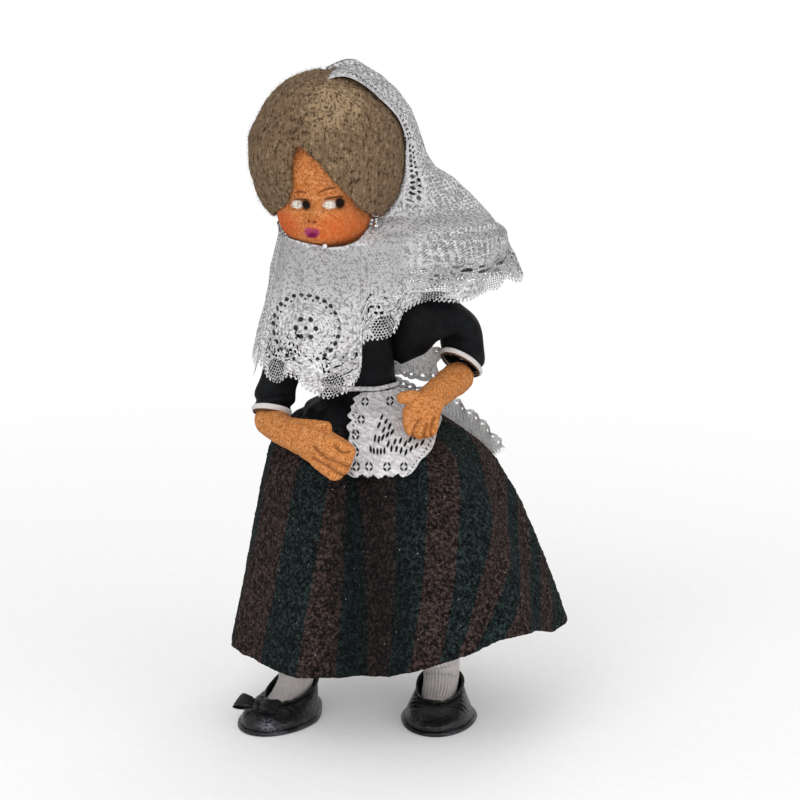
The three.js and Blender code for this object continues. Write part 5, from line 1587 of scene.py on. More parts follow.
def cotton_finish(name, colours, open_net=1.0, paler=1.0, greying=1.0):
    """Close white lace with worked eyelets; a mark says where the thread leaves a hole. Paler lifts the colour
    as painted light, and greying scales the grey.
    """
    material, board, shader = finish_named(name)
    across, up, worked, netting = board.marks("cloth_across", "cloth_up", "eyelets", "netting")
    wander = board.noise(board.rest(), 2.4) - 0.5
    net, height = board.group(net_group(), ("Mask", "Height"), Across=across + wander * 0.6,
                              Up=up + wander * 0.5, Cell=1.15, Thread=0.24)
    ribs = ((across * 0.4 + up * 0.9 + wander * 2.0) * 4.2).math("SINE") * 0.5 + 0.5
    holes = worked.high((1.0 - net) * (netting * open_net))
    # Grey: painted shade in the troughs of the ribs, with random grey patches
    grey = (board.ramp(wander, -0.1, 0.15) * 0.4 + (1.0 - ribs) * 0.35) * greying
    colour = tuple(min(0.97, c * paler) for c in colours.lace)
    lace_base(board, shader, colour, holes, height * 0.4 + ribs * 0.4 + wander * 0.6, grey)
    return material


def cotton_marks(across, up, eyelets=0, netting=0):
    """What cotton_finish reads from the points of a piece."""
    blank = 0 * (across + up)
    return {"cloth_across": across + blank, "cloth_up": up + blank, "eyelets": eyelets + blank,
            "netting": netting + blank}


def ovals(x, y, places):
    """1 inside any of the listed ovals: centre, half sizes and lean in degrees."""
    found = np.zeros(np.shape(x))
    for cx, cy, half_x, half_y, lean in places:
        c, s = math.cos(math.radians(lean)), math.sin(math.radians(lean))
        u = ((x - cx) * c + (y - cy) * s) / half_x
        v = (-(x - cx) * s + (y - cy) * c) / half_y
        found = np.maximum(found, 1 - smooth((np.hypot(u, v) - 0.75) / 0.5))
    return found


def lace_ribbon(name, path, up, half, material, layers, ruffle, ragged):
    """A lace ribbon along a path from the knot, pinched there and ruffled at both edges."""
    rows, columns = 150, 44
    v, w = np.linspace(0, 1, rows)[:, None], np.linspace(-1, 1, columns)[None, :]
    middle, _, stand, face = along_path(path, up, v.ravel())
    out = np.minimum(v, 1 - v) * 2 if layers == 2 else v
    wide = half * mix(0.3, 1.0, smooth(2.4 * out)) * (1 + 0.03 * np.sin(v * 60))
    length = np.linalg.norm(np.diff(middle, axis=0), axis=1).sum()
    along = v * length + 0 * w
    waves = ruffle * (np.sin(along * 0.9 + 2 * w) * np.abs(w) ** 1.5 + 0.8 * np.sin(along * 0.55 + 1) * w ** 2)
    cup = 0.8 * (w ** 2 - 0.35) * smooth(2 * out)
    gather = 0.45 * np.cos(w * 15) * (1 - smooth(out * 3))
    grid = (middle[:, None] + stand[:, None] * (w * wide)[..., None]
            + face[:, None] * (waves * smooth(out * 3) + cup + gather)[..., None])
    scallop = np.abs(np.sin(along / RIBBON_STEP * math.pi))
    grid = grid + stand[:, None] * (np.sign(w) * (np.abs(w) > 0.97) * scallop * 0.7)[..., None]
    across = w * wide
    from_middle = (np.mod(along, RIBBON_STEP) - RIBBON_STEP / 2) / 0.55
    from_edge = (np.abs(across) - wide + 1.6) / 0.6
    eyelets = np.where(out > 0.12, 1 - smooth((np.hypot(from_middle, from_edge) - 0.7) / 0.5), 0)
    torn = 0.5 + 0.5 * np.sin(across * 7.0) * np.cos(across * 3.1 + 1)
    eyelets = np.maximum(eyelets, smooth((v - 1 + ragged * (0.25 + 0.75 * torn)) / 0.01) * (ragged > 0))
    netting = 0.2 * smooth(out * 4 - 0.3) * (1 - smooth((np.abs(w) - 0.6) / 0.15))
    marks = cotton_marks(across, along, eyelets, netting)
    return new_piece(name, grid, sheet_faces(rows, columns), material, marks), length


class BuildApron(bpy.types.Operator):
    """Lace apron with its waistband and the bow at the back"""

    bl_idname = "doll.build_apron"
    bl_label = "Apron"

    def execute(self, context):
        colours = context.scene.doll_colours
        panel_lace = cotton_finish("apron_lace", colours, 0.0)
        # The bow's gauze is painted paler and less grey than the panel, a painted light against the shade at
        # the back of the doll
        gauze = cotton_finish("apron_gauze", colours, 1.0, 1.5, 0.15)
        self.panel(panel_lace)
        self.waistband(panel_lace)
        for part, (path, up, half, layers, ruffle, ragged) in BOW.items():
            path = [KNOT + place for place in path]
            piece, length = lace_ribbon(f"bow_{part}", path, up, half, gauze, layers, ruffle, ragged)
            seat(piece, "torso", "apron_lace", f"apron_bow_{part}")
        t = np.linspace(-0.96, 0.96, 22)[:, None]
        a = circle(40)
        swell = np.sqrt(1 - t * t) ** 0.7
        rings = np.stack([1.9 * swell * np.cos(a) * (1 + 0.1 * np.cos(6 * a)), 1.7 * swell * np.sin(a),
                          2.3 * t + 0 * a], -1) + KNOT
        marks = cotton_marks(0 * rings[..., 0], 0)
        knot = ring_piece("apron_knot", rings, panel_lace, marks, fill=(True, True))
        seat(knot, "torso", "apron_lace", "apron_bow_knot")
        return {"FINISHED"}

    def panel(self, material):
        rows, columns = 150, 150
        place = np.linspace(0, len(APRON_EDGES) - 1, rows)
        z, left, right = (np.interp(place, range(len(APRON_EDGES)), column)[:, None]
                          for column in zip(*APRON_EDGES))
        u = np.linspace(0, 1, columns)[None, :]
        z = z + 0 * u
        left = left + 0.6 * np.sin(place * 9)[:, None]
        drop = np.linspace(0, 1, rows)[:, None]
        side_fan = 0.9 * np.abs(np.sin(drop * math.pi * 4.5))
        foot_fan = 1.1 * np.abs(np.sin(u * math.pi * 5)) * smooth((drop - 0.9) / 0.1)
        left_fan = side_fan * (u < 0.06) * (1 - u / 0.06)
        right_fan = side_fan * (u > 0.94) * (u - 0.94) / 0.06
        x = mix(left - left_fan, right + right_fan, u)
        z = z - foot_fan
        cx, cy, wide, deep = under_apron(z)
        across = np.clip((x - cx) / (wide + 0.9), -0.97, 0.97)
        y = cy - (deep + 1.3) * np.sqrt(1 - across ** 2)
        grid = np.stack([x, y, z], -1)
        ripple = (0.55 * lumps(grid, 6.5, 2.2) + 0.5 * np.sin(x * 0.62 + z * 0.12) * smooth((128 - z) / 10)
                  + 0.3 * np.cos(x * 2.6) * smooth((z - 125) / 5))
        grid[..., 1] -= ripple
        places = [(px + dx, pz + dz, 0.36, 0.78, lean) for px, pz in DIAMONDS
                  for dx, dz, lean in ((-0.8, 0.7, -45), (0.8, 0.7, 45), (-0.8, -0.7, 45), (0.8, -0.7, -45))]
        places += [(px, pz, 0.48, 1.02, -lean) for px, pz, lean in SLOTS]
        eyelets = ovals(x, z, places)
        below = (z < 127) & (u > 0.04) & (u < 0.96)
        # How near a point is to the panel's sides or foot
        rim = np.minimum(np.minimum(u, 1 - u) * (right - left), (z - 106 + foot_fan) * 1.4)
        ladder = np.cos((x + z * 1.2) * 3.4) > 0.1
        eyelets = np.maximum(eyelets, 0.9 * below * ladder * (np.abs(rim - 1.5) < 0.32))
        marks = cotton_marks(x, z, eyelets)
        piece = new_piece("apron_lace_panel", grid, sheet_faces(rows, columns), material, marks)
        seat(piece, "torso", "apron_lace", "apron_panel")

    def waistband(self, material):
        a = circle(240)
        t = np.append(np.linspace(0, 2 * math.pi, 13)[:-1], 0)[:, None]
        grow = 1.9 + 0.42 * np.cos(t) + 0.12 * np.sin(a * 40)
        rise = 0.95 * np.sin(t) + 0 * a
        rings = np.stack([-15.3 + np.cos(a) * (12.6 + grow), 2 + np.sin(a) * (10.2 + grow),
                          131.7 + rise + 0.15 * np.sin(a * 7)], -1)
        band = ring_piece("apron_band", rings, material, cotton_marks(a * 14, rise))
        seat(band, "torso", "apron_lace", "apron_waistband")


# ---------------------------------------------------------------- skirt and petticoat

# Levels of the skirt's bell: height, reach, centre x and y
SKIRT = [
    (124.2, 15.4, -14, 2), (121, 21.4, -13.4, 1.8), (116, 30, -12, 1.4), (108.5, 38.6, -9.4, 1),
    (97.5, 44.4, -7.2, 0.7), (82.5, 50, -4.8, 0.4), (59, 57.2, -2.6, -0.2), (34.4, 64, -1.2, -0.5),
]
# How far the hem is lifted: degrees from the front towards the doll's left, height
HEM_LIFT = [
    (-10, 0), (-2, 1.2), (6, 3.6), (15, 5.4), (24, 7), (30, 8.8), (36, 10.2), (45, 10), (52, 9), (60, 6),
    (72, 1.5), (90, 0),
]
# Middle reach of the skirt, and its length down the slant
SKIRT_REACH = 58
SKIRT_SLANT = 108
SKIRT_MIDDLE = np.array([-6, 0.5, 0])
# Directions of the stripe edges in degrees, at mid fall and near the hem
STRIPE_EDGES = [
    (-162.1, -163.2), (-134.4, -141.2), (-115.6, -122.1), (-107.5, -110.4), (-101.8, -100.5), (-82.8, -91.5),
    (-66.5, -83.5), (-49.9, -72.2), (-25.6, -63.6), (1.0, -54.7),
]


def fold_depth(angle, fall):
    """How far the skirt stands in or out for its folds."""
    main = np.cos(9 * angle + 0.6) * 0.9 + np.cos(5 * angle - 0.9) * 0.7
    away = np.abs(np.mod(np.degrees(angle) + 101 + 180, 360) - 180)
    deep = np.exp(-away ** 2 / 70)
    return smooth(fall * 2.2) * (main * (0.6 + fall) - 5.2 * deep * smooth(fall * 3) * (1.25 - 0.6 * fall))


def bell_points(angle, fall, grow):
    """Points of the skirt's bell at an angle in radians and a fall from 0 to 1."""
    levels = np.array(SKIRT, float)
    place = fall * 7
    i = np.minimum(6, place.astype(int))
    t = place - i
    p0, p1, p2, p3 = (levels[np.clip(i + k, 0, 7)] for k in (-1, 0, 1, 2))
    t = t[..., None]
    step = p2 - p1
    row = p1 + step * t + t * (1 - t) * ((1 - t) * ((p2 - p0) / 2 - step) - t * ((p3 - p1) / 2 - step))
    r = row[..., 1] + grow + fold_depth(angle, fall)
    x = row[..., 2] + np.cos(angle) * r
    return np.stack([x, row[..., 3] + np.sin(angle) * r, row[..., 0] + 0.04 * x * fall ** 2], -1)


def bell_places(rows, columns, top, foot):
    """Angles and falls of a net of points on the bell."""
    angle = np.linspace(-math.pi, math.pi, columns, endpoint=False)[None, :]
    fall = np.linspace(top, foot, rows)[:, None]
    return angle + 0 * fall, fall + 0 * angle


def stripe_places(angle, fall, width):
    """Which stripe each point is in, counted on from the first edge; even ones are brown."""
    edges = np.array(STRIPE_EDGES)
    way = (fall - 0.57) / 0.36
    degrees = np.degrees(angle)
    count = np.zeros_like(degrees)
    for row in range(degrees.shape[0]):
        here = mix(edges[:, 0], edges[:, 1], np.clip(way[row, 0], -0.6, 1.15))
        here = np.maximum.accumulate(here + np.arange(len(here)) * 1e-3)
        rest = 360 - (here[-1] - here[0])
        extra = 2 * round(rest / 360 * 2 * math.pi * SKIRT_REACH / width / 2) + 1
        last = here[-1] + rest * np.arange(1, extra + 1) / extra
        count[row] = np.interp(np.mod(degrees[row] - here[0], 360), np.concatenate([here, last]) - here[0],
                               np.arange(len(here) + extra))
    return count


def wool_finish(sizes, colours):
    """Thick looped wool in upright stripes of green and brown, knobbly, with a little lint, and darker down the
    front fold as painted shade.
    """
    material, board, shader = finish_named("striped_wool")
    place = board.rest()
    stripe, along, down = board.marks("stripe", "skirt_round", "skirt_down")
    shake = board.noise(place, 1.3, 3.0, 0.7) - 0.5
    count = stripe + shake * 0.16
    pair = (count * 0.5).math("FRACT")
    brown_now = (1.0 - board.ramp(pair, 0.49, 0.51)).high(board.ramp(pair, 0.985, 1.0))
    yarn = sizes.yarn / MM
    shade = board.group(yarn_group(), "Shade", Across=along + shake * 0.9, Along=down + shake * 1.2,
                        Width=yarn, Loop=yarn * 0.85)
    knobs = 1.0 - board.ramp(board.cells(place, yarn * 0.95), 0.1, 0.75)
    fibre = board.group(fibre_group(), "Fibre", Place=place, Hair=0.45, Clump=2.2)
    grit = board.noise(place, 1.15, 2.0, 0.75)
    coarse = board.noise(place, 2.0, 2.0, 0.7)
    patch = board.noise(place, 5.0, 3.0, 0.6)
    sideways = board.node("SeparateXYZ", Vector=place)
    # Painted shade: the skirt is darker down the deep fold at its front
    pressed = board.ramp(((sideways + 11.0) / 20.0).math("ABSOLUTE"), 0.35, 1.1, 0.6, 0.0)
    tone = board.blend(brown_now, colours.green, colours.brown)
    deep = board.blend(brown_now, dimmed(colours.green, 0.12), dimmed(colours.brown, 0.12))
    pale = board.blend(brown_now, (0.030, 0.052, 0.050), (0.098, 0.064, 0.056))
    speckle = board.ramp(grit * 0.65 + coarse * 0.35, 0.40, 0.60)
    tone = board.blend(1.0 - board.ramp(speckle, 0.0, 0.5), tone, deep)
    tone = board.blend(board.ramp(speckle, 0.62, 1.0) * 0.75, tone, pale)
    tone = board.blend(board.ramp(fibre, 0.6, 1.0) * 0.3, tone, pale)
    tone = board.blend(board.ramp(patch, 0.5, 0.72) * 0.35, tone, deep)
    tone = board.blend(pressed, tone, dimmed(colours.green, 0.3))
    lint = board.group(wear_group(), "Lint", Place=place, Lint=0.9)
    tone = board.blend(lint, tone, (0.55, 0.52, 0.50))
    paint(board, shader, Base_Color=tone, Roughness=0.95, Specular_IOR_Level=0.12,
          Normal=board.relief(knobs * 0.5 + shade * 0.15 + grit * 0.6, 1.1))
    return material


class BuildSkirt(bpy.types.Operator):
    """Striped wool skirt with deep folds, and the stiff net petticoat beneath"""

    bl_idname = "doll.build_skirt"
    bl_label = "Skirt"

    def execute(self, context):
        sizes, colours = context.scene.doll_sizes, context.scene.doll_colours
        angle, fall = bell_places(210, 760, 0, 1)
        grid = bell_points(angle, fall, -0.35)
        lift = table_value(HEM_LIFT, np.degrees(angle) + 90)
        grid[..., 2] += lift * smooth((fall - 0.35) / 0.65)
        grid[..., 0] -= 1.7 * smooth(-np.cos(angle) * 1.3) * smooth(fall * 4)
        grid[..., 0] += 0.9 * smooth(np.cos(angle) * 1.3) * smooth(fall * 3 - 1)
        out = unit((grid - SKIRT_MIDDLE) * (1, 1, 0) + (0, 0, 12))
        stripe = stripe_places(angle, fall, sizes.stripe / MM)
        ridge = 0.28 * np.cos(stripe * 2 * math.pi) * smooth(fall * 4)
        soft = 0.9 * lumps(grid * (1, 1, 0.5), 15.0, 3.0) * smooth(fall * 3)
        knots = 0.30 * lumps(grid, 1.05, 12.0) + 0.22 * lumps(grid, 2.1, 21.0)
        grid = grid + out * (ridge + soft + knots)[..., None]
        hem = grid[-1]
        uneven = 0.5 * lumps(hem, 6.0, 4.0) + 0.3 * lumps(hem, 1.6, 14.0)
        grid[-1, :, 2] += uneven
        turned_in = grid[-1] - out[-1] * np.array([1, 1, 0]) * 1.2 + np.array([0, 0, -0.1])
        inside_angle, inside_fall = bell_places(16, 760, 1, 0.86)
        inner = bell_points(inside_angle, inside_fall, -1.7)
        inner[..., 2] += lift[:16] * smooth((inside_fall - 0.35) / 0.65)
        grid = np.concatenate([grid, turned_in[None], inner])
        marks = {"stripe": stripe, "skirt_round": angle * SKIRT_REACH, "skirt_down": fall * SKIRT_SLANT}
        # The turned-in rows carry on from the hem's row
        marks = {key: np.concatenate([rows, np.tile(rows[-1:], (17, 1))]) for key, rows in marks.items()}
        skirt = ring_piece("skirt_wool", grid, wool_finish(sizes, colours), marks)
        seat(skirt, "torso", "striped_wool", "skirt")
        self.petticoat()
        return {"FINISHED"}

    def petticoat(self):
        material, board, shader = finish_named("stiff_net")
        across, up = board.marks("net_across", "net_up")
        net, height = board.group(net_group(), ("Mask", "Height"), Across=across, Up=up, Cell=1.4, Thread=0.16)
        dust = board.noise(board.rest(), 8.0, 3.0)
        tone = board.blend(board.ramp(dust, 0.35, 0.7), (0.52, 0.49, 0.45), (0.40, 0.36, 0.32))
        paint(board, shader, Base_Color=tone, Roughness=0.8, Alpha=net, Normal=board.relief(height, 0.3))
        angle, fall = bell_places(70, 420, 0.3, 0.94)
        grid = bell_points(angle, fall, -4.2)
        out = unit((grid - SKIRT_MIDDLE) * (1, 1, 0))
        grid = grid + out * (0.6 * np.cos(angle * 40) * smooth((fall - 0.3) * 3))[..., None]
        marks = {"net_across": angle * 54, "net_up": fall * SKIRT_SLANT}
        piece = ring_piece("petticoat_net", grid, material, marks)
        seat(piece, "torso", "stiff_net", "petticoat")


# ---------------------------------------------------------------- stockings and shoes

def own_to_foot(points, side):
    """From the shoe's own place, pointing forward with the ankle over the origin, to the doll."""
    return turned(points, np.zeros(3), FOOT_YAW[side]) + (*ANKLE[side][:2], 0)


CALF_R = 8.2
# Half widths of a stocking, across and through, from below the knee to the toe
STOCKING_HALF = [
    (8.45, 8.45), (8.6, 8.6), (8.1, 8.1), (7.8, 7.8), (7.3, 7.3), (6.9, 6.8), (6.7, 3.5), (5.6, 1.9),
]
# Wrinkles over the ankle: height, place along the stocking, width
WRINKLES = [(0.25, 0.42, 0.012), (0.2, 0.47, 0.012), (0.15, 0.36, 0.01)]


class BuildStockings(bpy.types.Operator):
    """Ribbed stockings over the shins and feet"""

    bl_idname = "doll.build_stockings"
    bl_label = "Stockings"

    def execute(self, context):
        sizes, colours = context.scene.doll_sizes, context.scene.doll_colours
        material, board, shader = finish_named("stocking_knit")
        rib, down = board.marks("rib", "down")
        height, shade = board.group(yarn_group(), ("Height", "Shade"), Across=rib, Along=down,
                                    Width=1.0, Loop=0.7)
        fluff = board.noise(board.rest(), 0.3, 3.0, 0.6)
        grime = board.noise(board.rest(), 4.0, 3.0)
        light = colours.stocking
        # Painted shade in the hollows between the knitted loops
        tone = board.blend(board.ramp(shade * 0.6 + fluff * 0.5, 0.25, 0.75), dimmed(light, 0.55), light)
        tone = board.blend(board.ramp(grime, 0.48, 0.75) * 0.5, tone, dimmed(light, 0.66))
        paint(board, shader, Base_Color=tone, Roughness=0.92, Normal=board.relief(height + fluff * 0.4, 0.4),
              Sheen_Weight=0.1)
        for side in SIDES:
            ankle, knee = np.array(ANKLE[side], float), np.array(KNEE[side], float)
            down_leg = unit(ankle - knee)
            foot = own_to_foot([(0, -1.5, 11.4), (0, -8, 7.3), (0, -16.5, 6.0)], side)
            path = [*(knee + down_leg * below for below in (5, 12, 26)), ankle - down_leg * 4, ankle, *foot]
            count = round(2 * math.pi * CALF_R / (sizes.rib / MM))

            def ribs(ts, angles):
                wrinkle = sum(high * hump(ts, place, wide) for high, place, wide in WRINKLES)
                wrinkle = wrinkle * (1 + 0.5 * np.sin(angles * 2))
                wobble = 0.1 * np.sin(angles * 3 + ts * 20)
                return 0.16 * np.abs(np.cos(angles * count / 2)) + wrinkle + wobble - 0.1
            across = own_to_foot([(1, 0, 0)], side)[0] - own_to_foot([(0, 0, 0)], side)[0]
            rings = sweep(path, STOCKING_HALF, across, 190, 260, (False, True), ribs)
            down_leg = lengths_along(rings.mean(1))[:, None]
            turns = circle(260) * count / (2 * math.pi)
            marks = {"rib": turns + 0 * down_leg, "down": down_leg + 0 * turns}
            piece = ring_piece(f"{side}_stocking_knit", rings, material, marks, fill=(False, True))
            across_joint(piece, (f"{side}_shin", f"{side}_foot"), ankle + (0, 0, 4.5), ankle - (0, 0, 3.5),
                         "stocking_knit", f"{side}_stocking", f"{side}_foot")
        return {"FINISHED"}


# Section of the sole: how far inside its outline, and height
SOLE_SECTION = [
    (12.0, 0.12), (2.0, 0.05), (0.7, 0.0), (0.15, 0.25), (-0.05, 0.7), (0.0, 1.1), (0.25, 1.5), (0.7, 1.72),
    (1.3, 1.66), (2.1, 1.62), (12.0, 1.62),
]
# Bound opening of the shoe: share of its rim, and rise above it
SHOE_LIP = [(1.035, 0.25), (1.05, 0.75), (1.02, 1.15), (0.965, 1.15), (0.93, 0.7), (0.925, 0.1)]
# The bow on the right shoe: its place and tilt, and each loop's path and half widths
SHOE_BOW = np.array([-3.4, -25.4, 7.9])
SHOE_BOW_TILT = 0.42
SHOE_BOW_LOOP = [
    (0.6, 0, 0.6), (3.6, 0.2, 1.6), (7.6, 0.3, 1.5), (8.9, 0.3, 0.6), (7.6, 0.3, -0.2), (3.4, 0.2, -0.2),
    (0.6, 0, -0.2),
]
SHOE_BOW_HALF = [1.5, 2.9, 3.8, 3.9, 3.7, 2.8, 1.5]


def sole_edge(a, shrink):
    """Outline of the sole at an angle from the toe."""
    toe = np.cos(a) > 0
    half = np.where(toe, 14.8, mix(14.8, 10.8, smooth(-1.1 * np.cos(a))))
    length = np.where(toe, 22.4, 25.2)
    return np.sin(a) * (half - shrink) + 1.0, -14 - np.cos(a) * (length - shrink)


def patent_finish(name, colours, gloss, scuffs):
    """Patent leatherette: black gloss crazed by age, with grey speckles and pale scuffs."""
    material, board, shader = finish_named(name)
    place = board.rest()
    grain = board.cells(place, 0.75, feature="DISTANCE_TO_EDGE")
    crazed = 1.0 - board.ramp(grain, 0.0, 0.09)
    pebble = board.cells(place, 0.9)
    speck = 1.0 - board.ramp(board.cells(place, 0.62), 0.12, 0.24)
    thin = board.ramp(board.noise(place, 3.2, 3.0, 0.6), 0.46, 0.62)
    rub = board.group(wear_group(), "Rub", Place=place, Rub=scuffs)
    near = board.ramp(board.mark("sole_near"), 0.0, 2.2, 1.0, 0.0)
    scraped = board.mark("scuff") * board.ramp(board.noise(place, 1.1, 3.0, 0.7), 0.4, 0.6)
    scuff = (rub * 0.35 * near).high(scraped)
    tone = board.blend(speck * thin * 0.8, colours.patent, (0.11, 0.11, 0.125))
    tone = board.blend(crazed * 0.35, tone, (0.03, 0.03, 0.034))
    tone = board.blend(scuff, tone, (0.17, 0.165, 0.20))
    rough = board.ramp(speck * thin, 0.0, 1.0, gloss, 0.5).high(scuff * 0.6)
    paint(board, shader, Base_Color=tone, Roughness=rough, Coat_Weight=board.ramp(scuff, 0.0, 0.5, 0.12, 0.0),
          Coat_Roughness=0.12, Specular_IOR_Level=0.3,
          Normal=board.relief(pebble * 0.8 - crazed * 0.3, 0.22, 0.8))
    return material


class BuildShoes(bpy.types.Operator):
    """Black shoes with a flared sole, a bound opening and one ribbon bow"""

    bl_idname = "doll.build_shoes"
    bl_label = "Shoes"

    def execute(self, context):
        colours = context.scene.doll_colours
        patent = patent_finish("patent_black", colours, 0.16, 1.0)
        dull = patent_finish("bow_black", colours, 0.45, 0.3)
        for side in SIDES:
            self.upper(side, patent)
            self.sole(side, patent)
        self.bow(dull)
        return {"FINISHED"}

    def upper(self, side, patent):
        a = circle(220)
        base_x, base_y = sole_edge(a, 1.25)
        toe = np.cos(a) > 0
        rim_x = np.sin(a) * 9.1
        rim_y = -3 - np.cos(a) * np.where(toe, 16.0, 10.8)
        rim_z = mix(12.0, 7.2, smooth((np.cos(a) + 1) / 2))
        rows = []
        for v in np.linspace(0, 1, 46):
            front = smooth((np.cos(a) + 0.3) / 1.1)
            lift = mix(v ** 1.1, 1 - (1 - v) ** 2, front)
            inward = mix(1 - (1 - v) ** 1.35, v ** 2, front)
            bulge = 0.35 * math.sin(math.pi * v)
            x = mix(base_x, rim_x, inward) * (1 + bulge * 0.03 * front)
            y = mix(base_y + 14, rim_y + 14, inward) * (1 + bulge * 0.03 * front) - 14
            rows.append(np.stack([x, y, mix(2.0, rim_z, lift)], -1))
        outer = np.array(rows)
        x, y, z = np.moveaxis(outer, -1, 0)
        crease = 0.35 * np.sin(y * 1.9 + x * 0.3) * hump(y, -19, 4) * hump(z, 8, 4)
        outer[..., 2] += crease + 0.12 * lumps(outer, 3.0, 6.0)
        middle = np.array([0, -6, 0])

        def ringed(ring, share, rise):
            return (ring - middle) * (share, share, 1) + middle + (0, 0, rise)
        lip = [ringed(outer[-1], share, rise) for share, rise in SHOE_LIP]
        inner = [ringed(outer[-1 - 5 * k], 0.92, -0.4) for k in range(1, 7)]
        rings = np.concatenate([outer, np.array(lip), np.array(inner)])
        x, y, z = np.moveaxis(rings, -1, 0)
        scuff = {"right": hump(x, 6.0, 3.4) * hump(y, -32.6, 2.4) * (z > 1),
                 "left": 0.4 * hump(x, -4.0, 2.0) * hump(y, -31.0, 2.0)}[side]
        marks = {"sole_near": z - 2, "scuff": scuff * (np.arange(len(rings)) < len(outer))[:, None]}
        piece = ring_piece(f"{side}_shoe_patent", own_to_foot(rings, side), patent, marks)
        seat(piece, f"{side}_foot", "patent_black", f"{side}_shoe_upper")

    def sole(self, side, patent):
        a = circle(200)
        rings = []
        for shrink, z in SOLE_SECTION:
            x, y = sole_edge(a, shrink)
            wave = 0.18 * np.sin(a * 5 + 1) * (z > 0.5)
            rings.append(np.stack([x, y, z + wave * (shrink < 1)], -1))
        rings = np.array(rings)
        blank = 0 * rings[..., 0]
        marks = {"sole_near": blank + 0.4, "scuff": blank + 0.5 * hump(a, 0.6, 0.2)}
        piece = ring_piece(f"{side}_sole", own_to_foot(rings, side), patent, marks, fill=(True, True))
        seat(piece, f"{side}_foot", "patent_black", f"{side}_shoe_sole")

    def bow(self, dull):
        """Flat ribbon bow on the instep of the right shoe."""
        c, s = math.cos(SHOE_BOW_TILT), math.sin(SHOE_BOW_TILT)
        forms = []
        for sign in (-1, 1):
            path = [(sign * x, y, z) for x, y, z in SHOE_BOW_LOOP]
            loop = sweep(path, [(half, 0.3) for half in SHOE_BOW_HALF], (0, 1, 0), 60, 24, (True, True))
            loop[..., 2] += 0.18 * np.sin(loop[..., 1] * 3.0)
            forms.append(loop)
        forms.append(sweep([(0, -1.9, 0.2), (0, -0.8, 0.9), (0, 0.8, 0.9), (0, 1.9, 0.2)],
                           [(1.1, 0.7), (1.35, 0.9), (1.35, 0.9), (1.1, 0.7)], (1, 0, 0), 24, 24, (True, True)))
        parts = []
        for form in forms:
            x, y, z = np.moveaxis(form, -1, 0)
            tilted = np.stack([x, y * c - z * s, y * s + z * c], -1) + SHOE_BOW
            marks = {"sole_near": 0 * x + 5.0, "scuff": 0 * x}
            parts.append(ring_piece("bow_part", own_to_foot(tilted, "right"), dull, marks, fill=(True, True)))
        bow = joined("shoe_bow_ribbon", parts)
        seat(bow, "right_foot", "patent_black", "right_shoe_bow")


# ---------------------------------------------------------------- stage

# The camera stands where the photograph was taken from; places are in metres
CAMERA_PLACE = (0, -0.970296, 0.366922)
CAMERA_AIM = (0, 0, 0.125)
FOCAL_PIXELS = 2607.6
PHOTO_PIXELS = 800
SENSOR = 36
# Lamps: name, place, size, power
LAMPS = [
    ("key", (-0.5, -0.85, 0.85), 0.9, 6.0), ("fill", (0.85, -0.7, 0.4), 0.9, 3.4),
    ("back", (0.25, 0.8, 0.8), 0.8, 2.6), ("low", (0.1, -1.0, 0.12), 0.6, 1.6),
]
LAMP_AIM = (0, 0, 0.12)
# Strength of the white surround: on the doll, and added where it is seen
AMBIENT = 0.62
SEEN_MORE = 0.38
FLOOR_RINGS = (2, 200, 400, 640)


def turn_to(obj, aim):
    obj.rotation_euler = (Vector(aim) - obj.location).to_track_quat("-Z", "Y").to_euler()


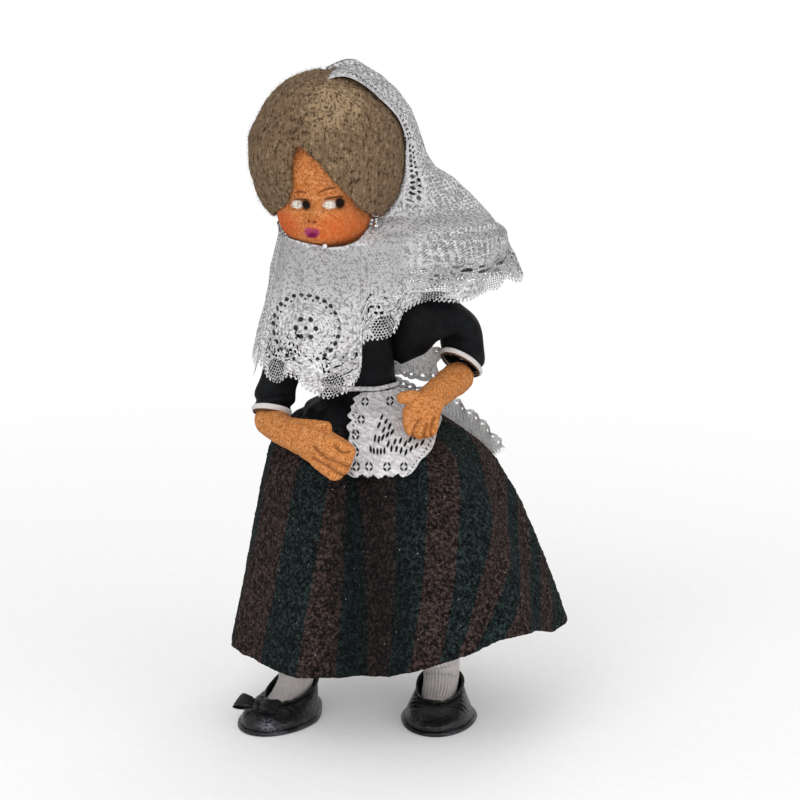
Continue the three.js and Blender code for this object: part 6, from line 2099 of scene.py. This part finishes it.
class BuildStage(bpy.types.Operator):
    """Camera at the photographed angle, soft lamps and a plain pale floor"""

    bl_idname = "doll.build_stage"
    bl_label = "Stage"

    def execute(self, context):
        scene = context.scene
        scene.view_settings.view_transform = "Standard"
        camera = placed("camera", bpy.data.cameras.new("camera"))
        camera.location = CAMERA_PLACE
        turn_to(camera, CAMERA_AIM)
        camera.data.lens = FOCAL_PIXELS / PHOTO_PIXELS * SENSOR
        camera.data.sensor_width = SENSOR
        camera.data.sensor_fit = "HORIZONTAL"
        scene.camera = camera
        self.world(scene)
        self.floor()
        for name, place, size, power in LAMPS:
            light = bpy.data.lights.new(name, "AREA")
            light.size = size
            light.energy = power
            lamp = placed(name, light)
            lamp.location = place
            turn_to(lamp, LAMP_AIM)
        return {"FINISHED"}

    def world(self, scene):
        """White to the camera and through clear things, soft grey light on the doll and in its reflections."""
        world = bpy.data.worlds.new("studio")
        world.use_nodes = True
        scene.world = world
        board = Board(world.node_tree)
        background = world.node_tree.nodes["Background"]
        path = world.node_tree.nodes.new("ShaderNodeLightPath")
        rays = [Wire(board, path.outputs[name]) for name in ("Is Camera Ray", "Is Transmission Ray")]
        background.inputs["Color"].default_value = (1, 1, 1, 1)
        seen = rays[0].high(rays[1])
        board.feed(background.inputs["Strength"], seen.math("MULTIPLY_ADD", SEEN_MORE, AMBIENT))

    def floor(self):
        """A pale round of paper that keeps the doll's shadow and fades into the white behind."""
        rings = np.array([[(math.cos(t) * r, math.sin(t) * r, 0) for t in circle(64)] for r in FLOOR_RINGS])
        material, board, shader = finish_named("pale_floor")
        floor = ring_piece("floor", rings, material, fill=(True, False))
        place = board.rest()
        tooth = board.noise(place, 4.0, 2.0)
        tone = board.blend(board.ramp(tooth, 0.3, 0.7), (0.95, 0.95, 0.95), (0.97, 0.97, 0.97))
        away = board.node("VectorMath", output="Value", settings={"operation": "LENGTH"}, Vector=place)
        paint(board, shader, Base_Color=tone, Roughness=0.95, Specular_IOR_Level=0.0,
              Alpha=board.ramp(away, 150.0, 600.0, 0.8, 0.0))


# ---------------------------------------------------------------- panel and running

OPERATORS = (BuildStage, BuildBody, BuildHead, BuildHair, BuildTrinkets, BuildHands, BuildBodice, BuildCuffs,
             BuildSkirt, BuildApron, BuildStockings, BuildShoes, BuildMantilla)


class DollPanel(bpy.types.Panel):
    """Lists the pieces of the doll with their sizes and colours"""

    bl_idname = "VIEW3D_PT_doll"
    bl_label = "Costume Doll"
    bl_space_type = "VIEW_3D"
    bl_region_type = "UI"
    bl_category = "Doll"

    def draw(self, context):
        for group in (context.scene.doll_sizes, context.scene.doll_colours):
            for key in group.__annotations__:
                self.layout.prop(group, key)
        for operator in OPERATORS:
            self.layout.operator(operator.bl_idname)


CLASSES = (DollSizes, DollColours, *OPERATORS, DollPanel)


def register():
    for cls in CLASSES:
        bpy.utils.register_class(cls)
    bpy.types.Scene.doll_sizes = bpy.props.PointerProperty(type=DollSizes)
    bpy.types.Scene.doll_colours = bpy.props.PointerProperty(type=DollColours)


def unregister():
    del bpy.types.Scene.doll_colours
    del bpy.types.Scene.doll_sizes
    for cls in reversed(CLASSES):
        bpy.utils.unregister_class(cls)


def main():
    register()
    for operator in OPERATORS:
        family, name = operator.bl_idname.split(".")
        getattr(getattr(bpy.ops, family), name)()
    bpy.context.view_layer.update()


if __name__ == "__main__":
    main()
